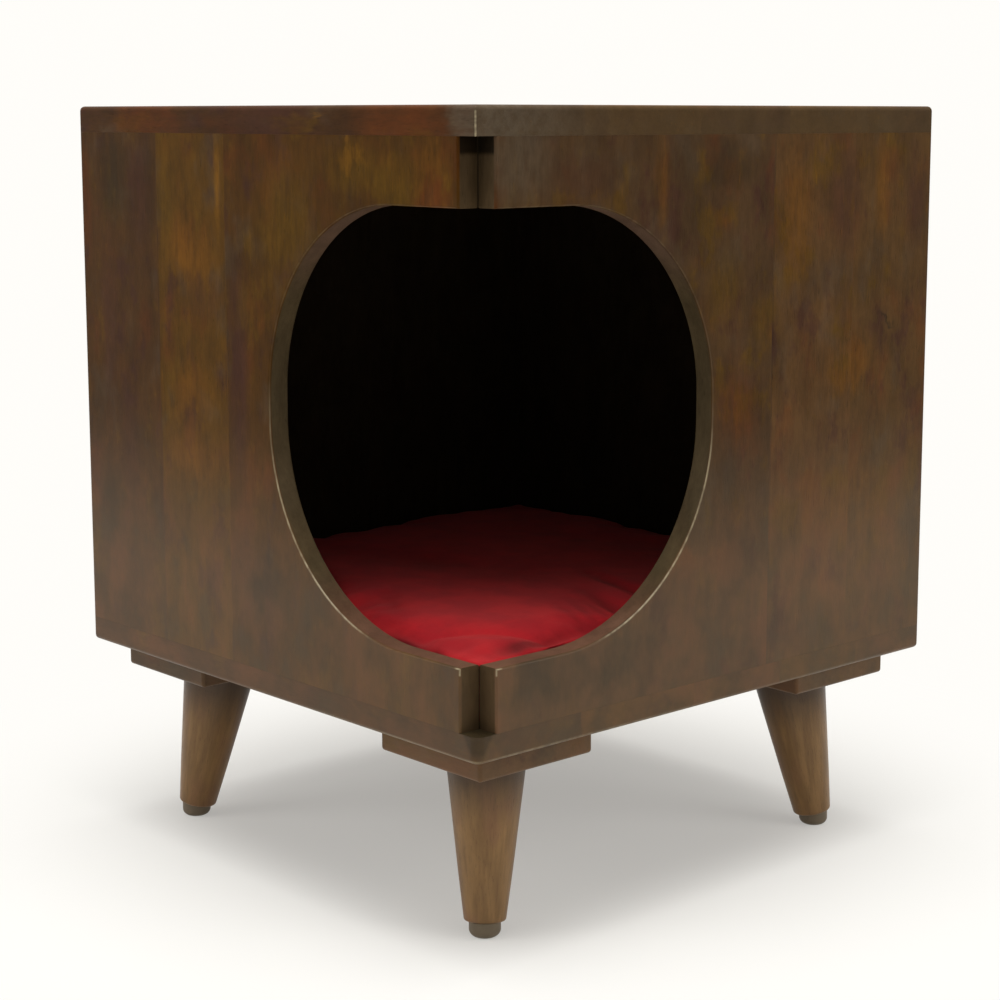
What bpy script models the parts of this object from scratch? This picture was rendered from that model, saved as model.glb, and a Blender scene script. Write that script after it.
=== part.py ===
"""Pet end table: a square wooden house on four splayed turned legs, with a doorway round its front corner.

Metres, +Z up. The origin is on the floor under the middle of the table. The walls lie along X and Y, and the
open corner is at +X, -Y. A piece that carries another stops one joint gap short of it.
"""

import math

import bmesh
import bpy
from mathutils import Vector

# House
HOUSE_WIDTH = 0.500
TOP_THICKNESS = 0.021
BOTTOM_THICKNESS = 0.020
WALL_THICKNESS = 0.018
WALL_HEIGHT = 0.413
EDGE_ROUNDING = 0.004
TOP_FRONT_CORNER_ROUNDING = 0.002
BOTTOM_FRONT_CORNER_ROUNDING = 0.008

# Doorway, measured along both front walls from the open corner, and up from the underside of the house
DOORWAY_REACH = 0.237
DOORWAY_SILL = 0.0665
DOORWAY_HEIGHT = 0.318
DOORWAY_SILL_RADIUS = 0.153
DOORWAY_HEAD_RADIUS = 0.146
DOORWAY_RIM = 0.0018

# Leg blocks, one under each corner
BLOCK_WIDTH = 0.112
BLOCK_THICKNESS = 0.022
BLOCK_INSET = 0.0215
BLOCK_ROUNDING = 0.003

# Legs
LEG_HEIGHT = 0.123
LEG_TOP_RADIUS = 0.031
LEG_FOOT_RADIUS = 0.016
LEG_FOOT_ROUNDING = 0.0025
LEG_SPLAY = math.radians(10.4)

# Foot glides, each with the nail that holds it
GLIDE_HEIGHT = 0.011
GLIDE_RADIUS = 0.012
GLIDE_ROUNDING = 0.0045
NAIL_RADIUS = 0.0013
NAIL_LENGTH = 0.016

# Cushion
CUSHION_CLEARANCE = 0.003
CUSHION_EDGE_HEIGHT = 0.043
CUSHION_CROWN = 0.015
CUSHION_DRAW_IN = 0.007
CUSHION_SIDE_BULGE = 0.004
CUSHION_BORDER = 0.016
CUSHION_CELLS = 6
CUSHION_LAYERS = 3

# Dowels
DOWEL_RADIUS = 0.004
DOWEL_LENGTH = 0.030
DOWEL_IN_BOARD = 0.012
DOWEL_IN_WALL = 0.010
DOWEL_END_DISTANCE = 0.080
CORNER_DOWEL_END_DISTANCE = 0.100
DOWELS_IN_A_ROW = 2

# Block screws and leg fixings
SCREW_RADIUS = 0.0021
SCREW_HEAD_RADIUS = 0.0042
SCREW_POINT = 0.005
SCREW_LENGTH = 0.035
SCREW_EDGE_DISTANCE = 0.018
SCREW_RECESS = 0.0004
BOLT_RADIUS = 0.0038
BOLT_IN_LEG = 0.030
BOLT_IN_BLOCK = 0.018
INSERT_RADIUS = 0.0060
INSERT_LENGTH = 0.012
INSERT_RECESS = 0.0016

# Clearances and facets
JOINT_GAP = 0.0003
HOLE_END_GAP = 0.001
CUT_MARGIN = 0.004
MERGE = 0.00005
SAME_PLACE = 0.00001
DOORWAY_STEPS = 24
ROUNDING_STEPS = 2
TURNING_STEPS = 36
TURNED_ARC_STEPS = 4
FASTENER_STEPS = 12
SHARP_ANGLE = math.radians(35)

# Levels, from the floor up
BLOCK_UNDERSIDE = GLIDE_HEIGHT + LEG_HEIGHT
HOUSE_UNDERSIDE = BLOCK_UNDERSIDE + BLOCK_THICKNESS
HOUSE_FLOOR = HOUSE_UNDERSIDE + BOTTOM_THICKNESS
TOP_UNDERSIDE = HOUSE_FLOOR + WALL_HEIGHT
TABLE_TOP = TOP_UNDERSIDE + TOP_THICKNESS

# Distances from the middle of the house
OUTSIDE = HOUSE_WIDTH / 2
INSIDE = OUTSIDE - WALL_THICKNESS
WALL_MIDDLE = OUTSIDE - WALL_THICKNESS / 2
BLOCK_CENTRE = OUTSIDE - BLOCK_INSET - BLOCK_WIDTH / 2

LEG_LENGTH = LEG_HEIGHT / math.cos(LEG_SPLAY)
LEG_TAPER = (LEG_TOP_RADIUS - LEG_FOOT_RADIUS) / LEG_LENGTH
CORNERS = {"left": (-1, -1), "front": (1, -1), "right": (1, 1), "back": (-1, 1)}


def clear_scene():
    """Removes everything that the scene starts with."""
    for obj in list(bpy.data.objects):
        bpy.data.objects.remove(obj, do_unlink=True)


def new_collection(name):
    """Adds a collection to the scene."""
    collection = bpy.data.collections.new(name)
    bpy.context.scene.collection.children.link(collection)
    return collection


def new_material(name, colour, roughness, metallic=0.0):
    """A plain Principled material."""
    material = bpy.data.materials.new(name)
    material.use_nodes = True
    shader = material.node_tree.nodes["Principled BSDF"]
    shader.inputs["Base Color"].default_value = (*colour, 1.0)
    shader.inputs["Roughness"].default_value = roughness
    shader.inputs["Metallic"].default_value = metallic
    material.diffuse_color = (*colour, 1.0)
    return material


clear_scene()
PARTS = new_collection("pet_end_table")
CUTTERS = new_collection("cutters")
WALNUT = new_material("walnut_lacquer", (0.085, 0.048, 0.026), 0.42)
LEG_WOOD = new_material("leg_lacquer", (0.150, 0.085, 0.040), 0.40)
RED_CLOTH = new_material("red_cloth", (0.420, 0.012, 0.016), 0.85)
BEECH = new_material("beech", (0.520, 0.340, 0.190), 0.70)
STEEL = new_material("zinc_steel", (0.560, 0.560, 0.570), 0.35, 1.0)
GLIDE_BROWN = new_material("brown_nylon", (0.100, 0.075, 0.055), 0.60)


def add_mesh(name, shape, place=(0, 0, 0)):
    """Makes an object of a bmesh, as a cutter until finish() is called on it."""
    mesh = bpy.data.meshes.new(name)
    shape.to_mesh(mesh)
    shape.free()
    obj = bpy.data.objects.new(name, mesh)
    obj.location = place
    obj.hide_render = True
    obj.display_type = "WIRE"
    CUTTERS.objects.link(obj)
    return obj


def finish(obj, material, smooth=False):
    """Makes an object one of the table's parts."""
    CUTTERS.objects.unlink(obj)
    PARTS.objects.link(obj)
    obj.hide_render = False
    obj.display_type = "TEXTURED"
    obj.data.materials.append(material)
    if smooth:
        obj.data.shade_smooth()
        obj.data.set_sharp_from_angle(angle=SHARP_ANGLE)


def settle(obj):
    """Replaces an object's mesh by what its modifiers make of it."""
    bpy.context.view_layer.update()
    graph = bpy.context.evaluated_depsgraph_get()
    obj.data = bpy.data.meshes.new_from_object(obj.evaluated_get(graph))
    obj.modifiers.clear()


def combine(obj, operation, other):
    """Cuts another object out of this one, or joins it on."""
    boolean = obj.modifiers.new(operation.capitalize(), "BOOLEAN")
    boolean.operation = operation
    boolean.object = other


def cut(obj, cutters):
    """Takes cutters out of an object."""
    for cutter in cutters:
        combine(obj, "DIFFERENCE", cutter)


def aim(obj, direction):
    """Turns an object so that its own +Z lies along a direction."""
    obj.rotation_mode = "QUATERNION"
    obj.rotation_quaternion = Vector((0, 0, 1)).rotation_difference(direction)


def quarter_turn():
    """The angles of an arc's points, from nothing to a right angle."""
    return [math.pi / 2 * step / TURNED_ARC_STEPS for step in range(TURNED_ARC_STEPS + 1)]


def board(name, low, high):
    """A rectangular board between two opposite corners."""
    low, high = Vector(low), Vector(high)
    shape = bmesh.new()
    bmesh.ops.create_cube(shape, size=1.0)
    bmesh.ops.scale(shape, vec=high - low, verts=shape.verts)
    return add_mesh(name, shape, (low + high) / 2)


def rod(name, start, end, radius):
    """A plain cylinder between two points."""
    shape = bmesh.new()
    bmesh.ops.create_cone(shape, cap_ends=True, segments=FASTENER_STEPS, radius1=radius, radius2=radius,
                          depth=(end - start).length)
    obj = add_mesh(name, shape, (start + end) / 2)
    aim(obj, end - start)
    return obj


def turned(name, profile, steps, ring=False):
    """A round shape about Z from (radius, height) points that run down its outer side."""
    shape = bmesh.new()
    points = [shape.verts.new((radius, 0, height)) for radius, height in profile]
    for first, second in zip(points, points[1:]):
        shape.edges.new((first, second))
    if ring:
        shape.edges.new((points[-1], points[0]))
    obj = add_mesh(name, shape)
    screw = obj.modifiers.new("Turn", "SCREW")
    screw.steps = screw.render_steps = steps
    screw.use_merge_vertices = True
    screw.merge_threshold = MERGE
    return obj


def round_edges(obj, rules, steps=ROUNDING_STEPS):
    """Rounds edges: each rule is a radius and a test of an edge's two ends in world places."""
    largest = max(radius for radius, _ in rules)
    weights = obj.data.attributes.new("bevel_weight_edge", "FLOAT", "EDGE")
    ends = [obj.location + vertex.co for vertex in obj.data.vertices]
    for edge in obj.data.edges:
        first, second = (ends[index] for index in edge.vertices)
        for radius, chosen in rules:
            if chosen(first, second):
                weights.data[edge.index].value = radius / largest
    bevel = obj.modifiers.new("Round", "BEVEL")
    bevel.limit_method = "WEIGHT"
    bevel.width = largest
    bevel.segments = steps


def near(value, target):
    """Whether two lengths are the same."""
    return abs(value - target) < SAME_PLACE


def level_at(height):
    """A test for edges that lie at one height."""
    return lambda a, b: near(a.z, height) and near(b.z, height)


def upright_at(x, y):
    """A test for the upright edge at one place in plan."""
    return lambda a, b: all(near(end.x, x) and near(end.y, y) for end in (a, b))


def spread(low, high, end_distance, count=DOWELS_IN_A_ROW):
    """Evenly spaced places between two ends, the outer ones at a distance from them."""
    first, last = low + end_distance, high - end_distance
    return [first + (last - first) * step / (count - 1) for step in range(count)]


def outside_corners(names, radius):
    """Rounding rules for the upright edges at corners of the house."""
    return [(radius, upright_at(CORNERS[name][0] * OUTSIDE, CORNERS[name][1] * OUTSIDE)) for name in names]


def wall_spans():
    """The two opposite corners in plan of each wall."""
    open_end = INSIDE - JOINT_GAP
    return {
        "front_left_panel": ((-OUTSIDE, -OUTSIDE), (open_end, -INSIDE)),
        "front_right_panel": ((INSIDE, -open_end), (OUTSIDE, OUTSIDE)),
        "back_left_panel": ((-OUTSIDE, -INSIDE + JOINT_GAP), (-INSIDE, OUTSIDE)),
        "back_right_panel": ((-INSIDE + JOINT_GAP, INSIDE), (INSIDE - JOINT_GAP, OUTSIDE)),
    }


def doorway_cutter(name, through):
    """A slab with round ends, centred on the open corner, that cuts the doorway through one wall."""
    corner = Vector((OUTSIDE, -OUTSIDE))
    low = [corner.x - DOORWAY_REACH, corner.y - DOORWAY_REACH, HOUSE_UNDERSIDE + DOORWAY_SILL]
    high = [corner.x + DOORWAY_REACH, corner.y + DOORWAY_REACH, low[2] + DOORWAY_HEIGHT]
    faces = sorted((corner[through], math.copysign(INSIDE, corner[through])))
    low[through] = faces[0] - CUT_MARGIN
    high[through] = faces[1] + CUT_MARGIN
    cutter = board(name, low, high)
    middle = (low[2] + high[2]) / 2

    def across(a, b):
        return not near(a[through], b[through])

    rules = [
        (DOORWAY_SILL_RADIUS, lambda a, b: across(a, b) and a.z < middle),
        (DOORWAY_HEAD_RADIUS, lambda a, b: across(a, b) and a.z > middle),
    ]
    round_edges(cutter, rules, DOORWAY_STEPS)
    return cutter


def front_panel(name, through, far_corner):
    """A front wall with its half of the doorway. It stops one thickness short of the open corner."""
    low, high = wall_spans()[name]
    panel = board(name, (*low, HOUSE_FLOOR), (*high, TOP_UNDERSIDE - JOINT_GAP))
    cut(panel, [doorway_cutter(name + "_doorway", through)])
    settle(panel)
    along = 1 - through
    outer_face = math.copysign(OUTSIDE, (low[through] + high[through]))
    inner_face = math.copysign(INSIDE, outer_face)
    open_end = high[along] if abs(high[along]) < OUTSIDE else low[along]
    sill = HOUSE_UNDERSIDE + DOORWAY_SILL

    def in_face(a, b, face):
        return near(a[through], face) and near(b[through], face)

    def doorway_edge(a, b):
        in_a_face = in_face(a, b, outer_face) or in_face(a, b, inner_face)
        middle = (a + b) / 2
        beside_door = sill - MERGE < middle.z < sill + DOORWAY_HEIGHT + MERGE
        return in_a_face and beside_door and abs(middle[along]) < OUTSIDE - MERGE

    def notch_edge(a, b):
        return all(near(end[along], open_end) and near(end[through], outer_face) for end in (a, b))

    rules = [(DOORWAY_RIM, doorway_edge), (DOORWAY_RIM, notch_edge)]
    round_edges(panel, rules + outside_corners([far_corner], EDGE_ROUNDING))
    return panel


def back_panel(name, corners):
    """A plain wall, with the outside corners that it covers rounded."""
    low, high = wall_spans()[name]
    panel = board(name, (*low, HOUSE_FLOOR), (*high, TOP_UNDERSIDE - JOINT_GAP))
    if corners:
        round_edges(panel, outside_corners(corners, EDGE_ROUNDING))
    return panel


def top_board():
    """The table top, flush with the walls."""
    top = board("top_board", (-OUTSIDE, -OUTSIDE, TOP_UNDERSIDE), (OUTSIDE, OUTSIDE, TABLE_TOP))
    rules = [(EDGE_ROUNDING, level_at(TABLE_TOP))]
    rules += outside_corners(["left", "right", "back"], EDGE_ROUNDING)
    rules += outside_corners(["front"], TOP_FRONT_CORNER_ROUNDING)
    round_edges(top, rules)
    return top


def bottom_board():
    """The floor of the house, flush with the walls."""
    bottom = board("bottom_board", (-OUTSIDE, -OUTSIDE, HOUSE_UNDERSIDE),
                   (OUTSIDE, OUTSIDE, HOUSE_FLOOR - JOINT_GAP))
    rules = [(EDGE_ROUNDING, level_at(HOUSE_UNDERSIDE))]
    rules += outside_corners(["left", "right", "back"], EDGE_ROUNDING)
    rules += outside_corners(["front"], BOTTOM_FRONT_CORNER_ROUNDING)
    round_edges(bottom, rules)
    return bottom


def dowel(name, inner, outer, holders):
    """A dowel between two points, with its hole in each piece that it joins."""
    along = (outer - inner).normalized()
    hole = rod(name + "_hole", inner - along * HOLE_END_GAP, outer + along * HOLE_END_GAP,
               DOWEL_RADIUS + JOINT_GAP)
    for holder in holders:
        cut(holder, [hole])
    finish(rod(name, inner, outer, DOWEL_RADIUS), BEECH, smooth=True)


def edge_dowels(name, wall, span, other, level, up):
    """Dowels along a wall's edge, into the board above it (up is 1) or below it (up is -1)."""
    low, high = span
    along = 0 if high[0] - low[0] > high[1] - low[1] else 1
    across = 1 - along
    for number, place in enumerate(spread(low[along], high[along], DOWEL_END_DISTANCE), 1):
        outer = Vector((0, 0, level + up * DOWEL_IN_BOARD))
        outer[along] = place
        outer[across] = (low[across] + high[across]) / 2
        inner = outer - Vector((0, 0, up * DOWEL_LENGTH))
        dowel(f"{name}_{number}", inner, outer, (wall, other))


def corner_dowels(walls):
    """Level dowels where one wall's end meets another wall's face, at the three closed corners."""
    outer_end = INSIDE + DOWEL_IN_WALL
    inner_end = outer_end - DOWEL_LENGTH
    middle = WALL_MIDDLE
    joints = {
        "left": ("back_left_panel", "front_left_panel", (-middle, -inner_end), (-middle, -outer_end)),
        "back": ("back_right_panel", "back_left_panel", (-inner_end, middle), (-outer_end, middle)),
        "right": ("back_right_panel", "front_right_panel", (inner_end, middle), (outer_end, middle)),
    }
    heights = spread(HOUSE_FLOOR, TOP_UNDERSIDE, CORNER_DOWEL_END_DISTANCE)
    for corner, (ending, facing, inner, outer) in joints.items():
        for number, height in enumerate(heights, 1):
            dowel(f"corner_dowel_{corner}_{number}", Vector((*inner, height)), Vector((*outer, height)),
                  (walls[ending], walls[facing]))


def house():
    """The six boards of the box and their dowels. It returns the bottom board, still to be finished."""
    walls = {
        "front_left_panel": front_panel("front_left_panel", 1, "left"),
        "front_right_panel": front_panel("front_right_panel", 0, "right"),
        "back_left_panel": back_panel("back_left_panel", ["back"]),
        "back_right_panel": back_panel("back_right_panel", []),
    }
    top, bottom = top_board(), bottom_board()
    for name, span in wall_spans().items():
        side = name.removesuffix("_panel")
        edge_dowels("top_dowel_" + side, walls[name], span, top, TOP_UNDERSIDE, 1)
        edge_dowels("bottom_dowel_" + side, walls[name], span, bottom, HOUSE_FLOOR, -1)
    corner_dowels(walls)
    for panel in (*walls.values(), top):
        finish(panel, WALNUT)
    return bottom


def screw_profile(length, grow):
    """A countersunk wood screw, head down at height 0. Its hole is grown, and open at the head."""
    neck = SCREW_HEAD_RADIUS - SCREW_RADIUS
    point = length + (HOLE_END_GAP if grow else 0)
    below = -CUT_MARGIN if grow else 0
    return [
        (0, point),
        (SCREW_RADIUS + grow, point - SCREW_POINT),
        (SCREW_RADIUS + grow, neck + grow),
        (SCREW_HEAD_RADIUS + grow, grow),
        (SCREW_HEAD_RADIUS + grow, below - grow),
        (0, below - grow),
    ]


def block_screw(name, head, holders):
    """A wood screw that runs straight up from its head, with its hole in each piece that it joins."""
    hole = turned(name + "_hole", screw_profile(SCREW_LENGTH, JOINT_GAP), FASTENER_STEPS)
    screw = turned(name, screw_profile(SCREW_LENGTH, 0), FASTENER_STEPS)
    hole.location = screw.location = head
    for holder in holders:
        cut(holder, [hole])
    finish(screw, STEEL, smooth=True)


def leg_frame(corner):
    """The middle of a leg's top and the direction that runs down its axis."""
    side_x, side_y = CORNERS[corner]
    top = Vector((side_x * BLOCK_CENTRE, side_y * BLOCK_CENTRE, BLOCK_UNDERSIDE))
    outward = math.sin(LEG_SPLAY) / math.sqrt(2)
    return top, Vector((side_x * outward, side_y * outward, -math.cos(LEG_SPLAY)))


def leg_profile():
    """The tapered leg from above its top, which is cut off level, down to its rounded foot."""
    over = LEG_TOP_RADIUS * math.tan(LEG_SPLAY) + CUT_MARGIN
    profile = [(0, over), (LEG_TOP_RADIUS + LEG_TAPER * over, over)]
    centre_radius = LEG_FOOT_RADIUS - LEG_FOOT_ROUNDING
    centre_height = -LEG_LENGTH + LEG_FOOT_ROUNDING
    for turn in quarter_turn():
        profile.append((centre_radius + LEG_FOOT_ROUNDING * math.cos(turn),
                        centre_height - LEG_FOOT_ROUNDING * math.sin(turn)))
    return profile + [(0, -LEG_LENGTH)]


def leg(corner, holes):
    """A turned leg, cut off level under its block."""
    top, down = leg_frame(corner)
    made = turned("leg_" + corner, leg_profile(), TURNING_STEPS)
    made.location = top
    aim(made, -down)
    level = top - Vector((0, 0, JOINT_GAP))
    around = Vector((LEG_TOP_RADIUS + CUT_MARGIN, LEG_TOP_RADIUS + CUT_MARGIN, 0)) / math.cos(LEG_SPLAY)
    above = Vector((0, 0, LEG_TOP_RADIUS))
    cut(made, [board("leg_top_cut", level - around, level + around + above), *holes])
    finish(made, LEG_WOOD, smooth=True)


def glide_profile():
    """A round glide with a rounded lower edge, taller than it ends up."""
    over = GLIDE_HEIGHT + GLIDE_RADIUS
    profile = [(0, over), (GLIDE_RADIUS, over)]
    for turn in quarter_turn():
        profile.append((GLIDE_RADIUS - GLIDE_ROUNDING * (1 - math.cos(turn)),
                        GLIDE_ROUNDING * (1 - math.sin(turn))))
    return profile + [(0, 0)]


def glide(corner):
    """A foot glide, flat on the floor and cut to the slant of its leg's end. It returns its nail's hole."""
    top, down = leg_frame(corner)
    made = turned("foot_glide_" + corner, glide_profile(), TURNING_STEPS)
    foot = top + down * LEG_LENGTH
    middle = foot + down * (GLIDE_HEIGHT / 2)
    made.location = (middle.x, middle.y, 0)
    beyond = 2 * (GLIDE_HEIGHT + GLIDE_RADIUS)
    cut(made, [rod("glide_top_cut", foot + down * JOINT_GAP, foot - down * beyond, beyond)])
    nail_end = foot - down * NAIL_LENGTH
    combine(made, "UNION", rod("glide_nail", middle, nail_end, NAIL_RADIUS))
    finish(made, GLIDE_BROWN, smooth=True)
    return rod("nail_hole", middle, nail_end - down * HOLE_END_GAP, NAIL_RADIUS + JOINT_GAP)


def leg_block(corner, holes):
    """The square block that a leg screws into."""
    top, _ = leg_frame(corner)
    half = Vector((BLOCK_WIDTH / 2, BLOCK_WIDTH / 2, 0))
    made = board("leg_block_" + corner, top - half, top + half + Vector((0, 0, BLOCK_THICKNESS - JOINT_GAP)))
    sides = [(x, y) for x in (top.x - half.x, top.x + half.x) for y in (top.y - half.y, top.y + half.y)]
    rules = [(BLOCK_ROUNDING, upright_at(*side)) for side in sides]
    round_edges(made, rules + [(BLOCK_ROUNDING, level_at(BLOCK_UNDERSIDE))])
    cut(made, holes)
    return made


def insert(corner):
    """The threaded insert in a block. It returns its hole."""
    top, down = leg_frame(corner)
    bore = BOLT_RADIUS + JOINT_GAP
    profile = [(bore, INSERT_LENGTH), (INSERT_RADIUS, INSERT_LENGTH), (INSERT_RADIUS, 0), (bore, 0)]
    made = turned("threaded_insert_" + corner, profile, FASTENER_STEPS, ring=True)
    made.location = top - down * INSERT_RECESS
    aim(made, -down)
    finish(made, STEEL, smooth=True)
    end = top - down * (INSERT_RECESS + INSERT_LENGTH + JOINT_GAP)
    return rod("insert_hole", top + down * CUT_MARGIN, end, INSERT_RADIUS + JOINT_GAP)


def bolt(corner):
    """The hanger bolt between a leg and its block. It returns its hole."""
    top, down = leg_frame(corner)
    low, high = top + down * BOLT_IN_LEG, top - down * BOLT_IN_BLOCK
    finish(rod("hanger_bolt_" + corner, low, high, BOLT_RADIUS), STEEL, smooth=True)
    return rod("bolt_hole", low + down * HOLE_END_GAP, high - down * HOLE_END_GAP, BOLT_RADIUS + JOINT_GAP)


def block_screws(corner, holders):
    """Two screws up through a block into the bottom board, at opposite ends of its diagonal."""
    top, _ = leg_frame(corner)
    side_x, side_y = CORNERS[corner]
    reach = BLOCK_WIDTH / 2 - SCREW_EDGE_DISTANCE
    for number, side in enumerate((-1, 1), 1):
        place = top + Vector((side * side_x * reach, -side * side_y * reach, SCREW_RECESS))
        block_screw(f"block_screw_{corner}_{number}", place, holders)


def underframe(bottom):
    """The blocks, legs and glides, with what fastens them, under the bottom board."""
    for corner in CORNERS:
        bolt_hole = bolt(corner)
        block = leg_block(corner, [bolt_hole, insert(corner)])
        block_screws(corner, (block, bottom))
        finish(block, WALNUT)
        leg(corner, [bolt_hole, glide(corner)])
    finish(bottom, WALNUT)


def cushion():
    """The loose cushion: crowned on top, flat below, its sides drawn in between the corners."""
    half = INSIDE - CUSHION_CLEARANCE
    shape = bmesh.new()
    bmesh.ops.create_cube(shape, size=2.0)
    border = 1 - CUSHION_BORDER / half
    plan_cuts = [-border + 2 * border * step / CUSHION_CELLS for step in range(CUSHION_CELLS + 1)]
    layer_cuts = [-1 + 2 * step / CUSHION_LAYERS for step in range(1, CUSHION_LAYERS)]
    for axis, places in ((0, plan_cuts), (1, plan_cuts), (2, layer_cuts)):
        normal = Vector((0, 0, 0))
        normal[axis] = 1
        for place in places:
            geometry = [*shape.verts, *shape.edges, *shape.faces]
            bmesh.ops.bisect_plane(shape, geom=geometry, plane_co=normal * place, plane_no=normal)
    for vert in shape.verts:
        across, deep, up = vert.co
        height = (up + 1) / 2
        crown = CUSHION_CROWN * (1 - across ** 2) * (1 - deep ** 2)
        shrink = CUSHION_SIDE_BULGE * (2 * height - 1) ** 2
        vert.co.x = across * (half - shrink - CUSHION_DRAW_IN * (1 - deep ** 2))
        vert.co.y = deep * (half - shrink - CUSHION_DRAW_IN * (1 - across ** 2))
        vert.co.z = height * (CUSHION_EDGE_HEIGHT + crown)
    made = add_mesh("cushion", shape, (0, 0, HOUSE_FLOOR))
    soft = made.modifiers.new("Soft", "SUBSURF")
    soft.levels = soft.render_levels = 1
    finish(made, RED_CLOTH, smooth=True)


def main():
    """Builds the table."""
    underframe(house())
    cushion()


main()
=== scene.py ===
"""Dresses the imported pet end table.

It makes stained walnut boards, turned legs, foot glides, screws and a stuffed red cushion. Lengths are in
metres, +Z up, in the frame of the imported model. The walls lie along X and Y, and the open corner of the house
is at +X, -Y. Every piece made here stands in the place of the CAD node that it replaces.
"""

import logging
import math
from collections.abc import Callable, Mapping, Sequence
from dataclasses import dataclass, field
from enum import Enum

import bmesh
import bpy
import numpy as np
from mathutils import Matrix, Vector


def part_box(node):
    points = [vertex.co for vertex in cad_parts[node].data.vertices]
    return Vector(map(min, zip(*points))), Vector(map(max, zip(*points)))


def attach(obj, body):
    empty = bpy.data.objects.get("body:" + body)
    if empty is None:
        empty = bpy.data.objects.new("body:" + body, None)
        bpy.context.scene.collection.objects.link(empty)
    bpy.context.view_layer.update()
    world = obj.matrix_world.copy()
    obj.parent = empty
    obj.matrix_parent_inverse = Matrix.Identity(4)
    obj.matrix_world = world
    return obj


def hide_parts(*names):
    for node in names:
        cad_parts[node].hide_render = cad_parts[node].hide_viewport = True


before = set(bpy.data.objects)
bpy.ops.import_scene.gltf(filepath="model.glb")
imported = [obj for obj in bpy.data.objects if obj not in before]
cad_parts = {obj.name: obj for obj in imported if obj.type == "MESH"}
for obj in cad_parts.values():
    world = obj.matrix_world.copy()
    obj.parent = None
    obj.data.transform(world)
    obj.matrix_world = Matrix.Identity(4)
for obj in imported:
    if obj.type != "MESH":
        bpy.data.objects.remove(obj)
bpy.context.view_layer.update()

LOG = logging.getLogger("pet_end_table")

Colour = tuple[float, float, float, float]
Point = tuple[float, float]
Strip = tuple[float, Colour]


class Slot(Enum):
    """The record's material slots."""

    WALNUT = "walnut_lacquer"
    LEG = "leg_lacquer"
    CLOTH = "red_cloth"
    BEECH = "beech"
    STEEL = "zinc_steel"
    NYLON = "brown_nylon"


class Axis(Enum):
    """An axis of the table's frame, by its number."""

    X = 0
    Y = 1
    Z = 2


class Corner(Enum):
    """A corner of the table, with its side along X and along Y."""

    LEFT = ("left", -1, -1)
    FRONT = ("front", 1, -1)
    RIGHT = ("right", 1, 1)
    BACK = ("back", -1, 1)

    @property
    def label(self) -> str:
        """The corner's name as the CAD nodes have it."""
        return self.value[0]

    @property
    def sides(self) -> tuple[int, int]:
        """The corner's side along X and along Y, each 1 or -1."""
        return self.value[1], self.value[2]


class Change(Enum):
    """What a boolean does with a second shape."""

    DRILL = "DIFFERENCE"
    JOIN = "UNION"


class EdgeHighlight(Enum):
    """Which edges of a board carry a painted highlight, pale where light catches their rounding."""

    NONE = "none"
    DOORWAY_RIM = "doorway rim"
    FRONT_CORNER = "front corner"
    LOWER_EDGES = "lower edges"


def tint(red: float, green: float, blue: float) -> Colour:
    """Turns a colour written in screen values, 0 to 255, into the shader's linear values.

    Args:
        red: the red value.
        green: the green value.
        blue: the blue value.

    Returns:
        The linear colour, opaque.
    """
    shares = (value / 255 for value in (red, green, blue))
    linear = (share / 12.92 if share <= 0.04045 else ((share + 0.055) / 1.055) ** 2.4 for share in shares)
    return (*linear, 1.0)


# Shader maths


class Value:
    """A number socket in an expression. Each operator adds its Math node."""

    def __init__(self, graph: "Graph", socket: bpy.types.NodeSocket) -> None:
        """Wraps an output socket of a graph."""
        self.graph = graph
        self.socket = socket

    def _math(self, operation: str, *terms: "Value | float") -> "Value":
        """Adds one Math node.

        Args:
            operation: the node's operation.
            terms: its inputs in order.

        Returns:
            Its result.
        """
        node = self.graph.node("Math", {"operation": operation}, dict(enumerate(terms)))
        return Value(self.graph, node.outputs[0])

    def __add__(self, other: "Value | float") -> "Value":
        """Sum."""
        return self._math("ADD", self, other)

    def __radd__(self, other: "Value | float") -> "Value":
        """Sum, with the socket on the right."""
        return self._math("ADD", other, self)

    def __sub__(self, other: "Value | float") -> "Value":
        """Difference."""
        return self._math("SUBTRACT", self, other)

    def __rsub__(self, other: "Value | float") -> "Value":
        """Difference, with the socket on the right."""
        return self._math("SUBTRACT", other, self)

    def __mul__(self, other: "Value | float") -> "Value":
        """Product."""
        return self._math("MULTIPLY", self, other)

    def __rmul__(self, other: "Value | float") -> "Value":
        """Product, with the socket on the right."""
        return self._math("MULTIPLY", other, self)

    def __abs__(self) -> "Value":
        """Size without its sign."""
        return self._math("ABSOLUTE", self)

    def above(self, limit: float) -> "Value":
        """1 where the value is above a limit, and 0 elsewhere."""
        return self._math("GREATER_THAN", self, limit)

    def sine(self) -> "Value":
        """The sine of the value."""
        return self._math("SINE", self)

    def most(self, other: "Value | float") -> "Value":
        """The larger of two values."""
        return self._math("MAXIMUM", self, other)

    def ramp(self, start: float, end: float, low: float = 0.0, high: float = 1.0) -> "Value":
        """Turns smoothly from one value to another as this one goes from start to end.

        Args:
            start: where the turn starts; it may be above end.
            end: where it ends.
            low: the result at start.
            high: the result at end.

        Returns:
            The smooth step.
        """
        node = self.graph.node(
            "MapRange",
            {"interpolation_type": "SMOOTHSTEP"},
            {"Value": self, "From Min": start, "From Max": end, "To Min": low, "To Max": high},
        )
        return Value(self.graph, node.outputs[0])


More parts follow.
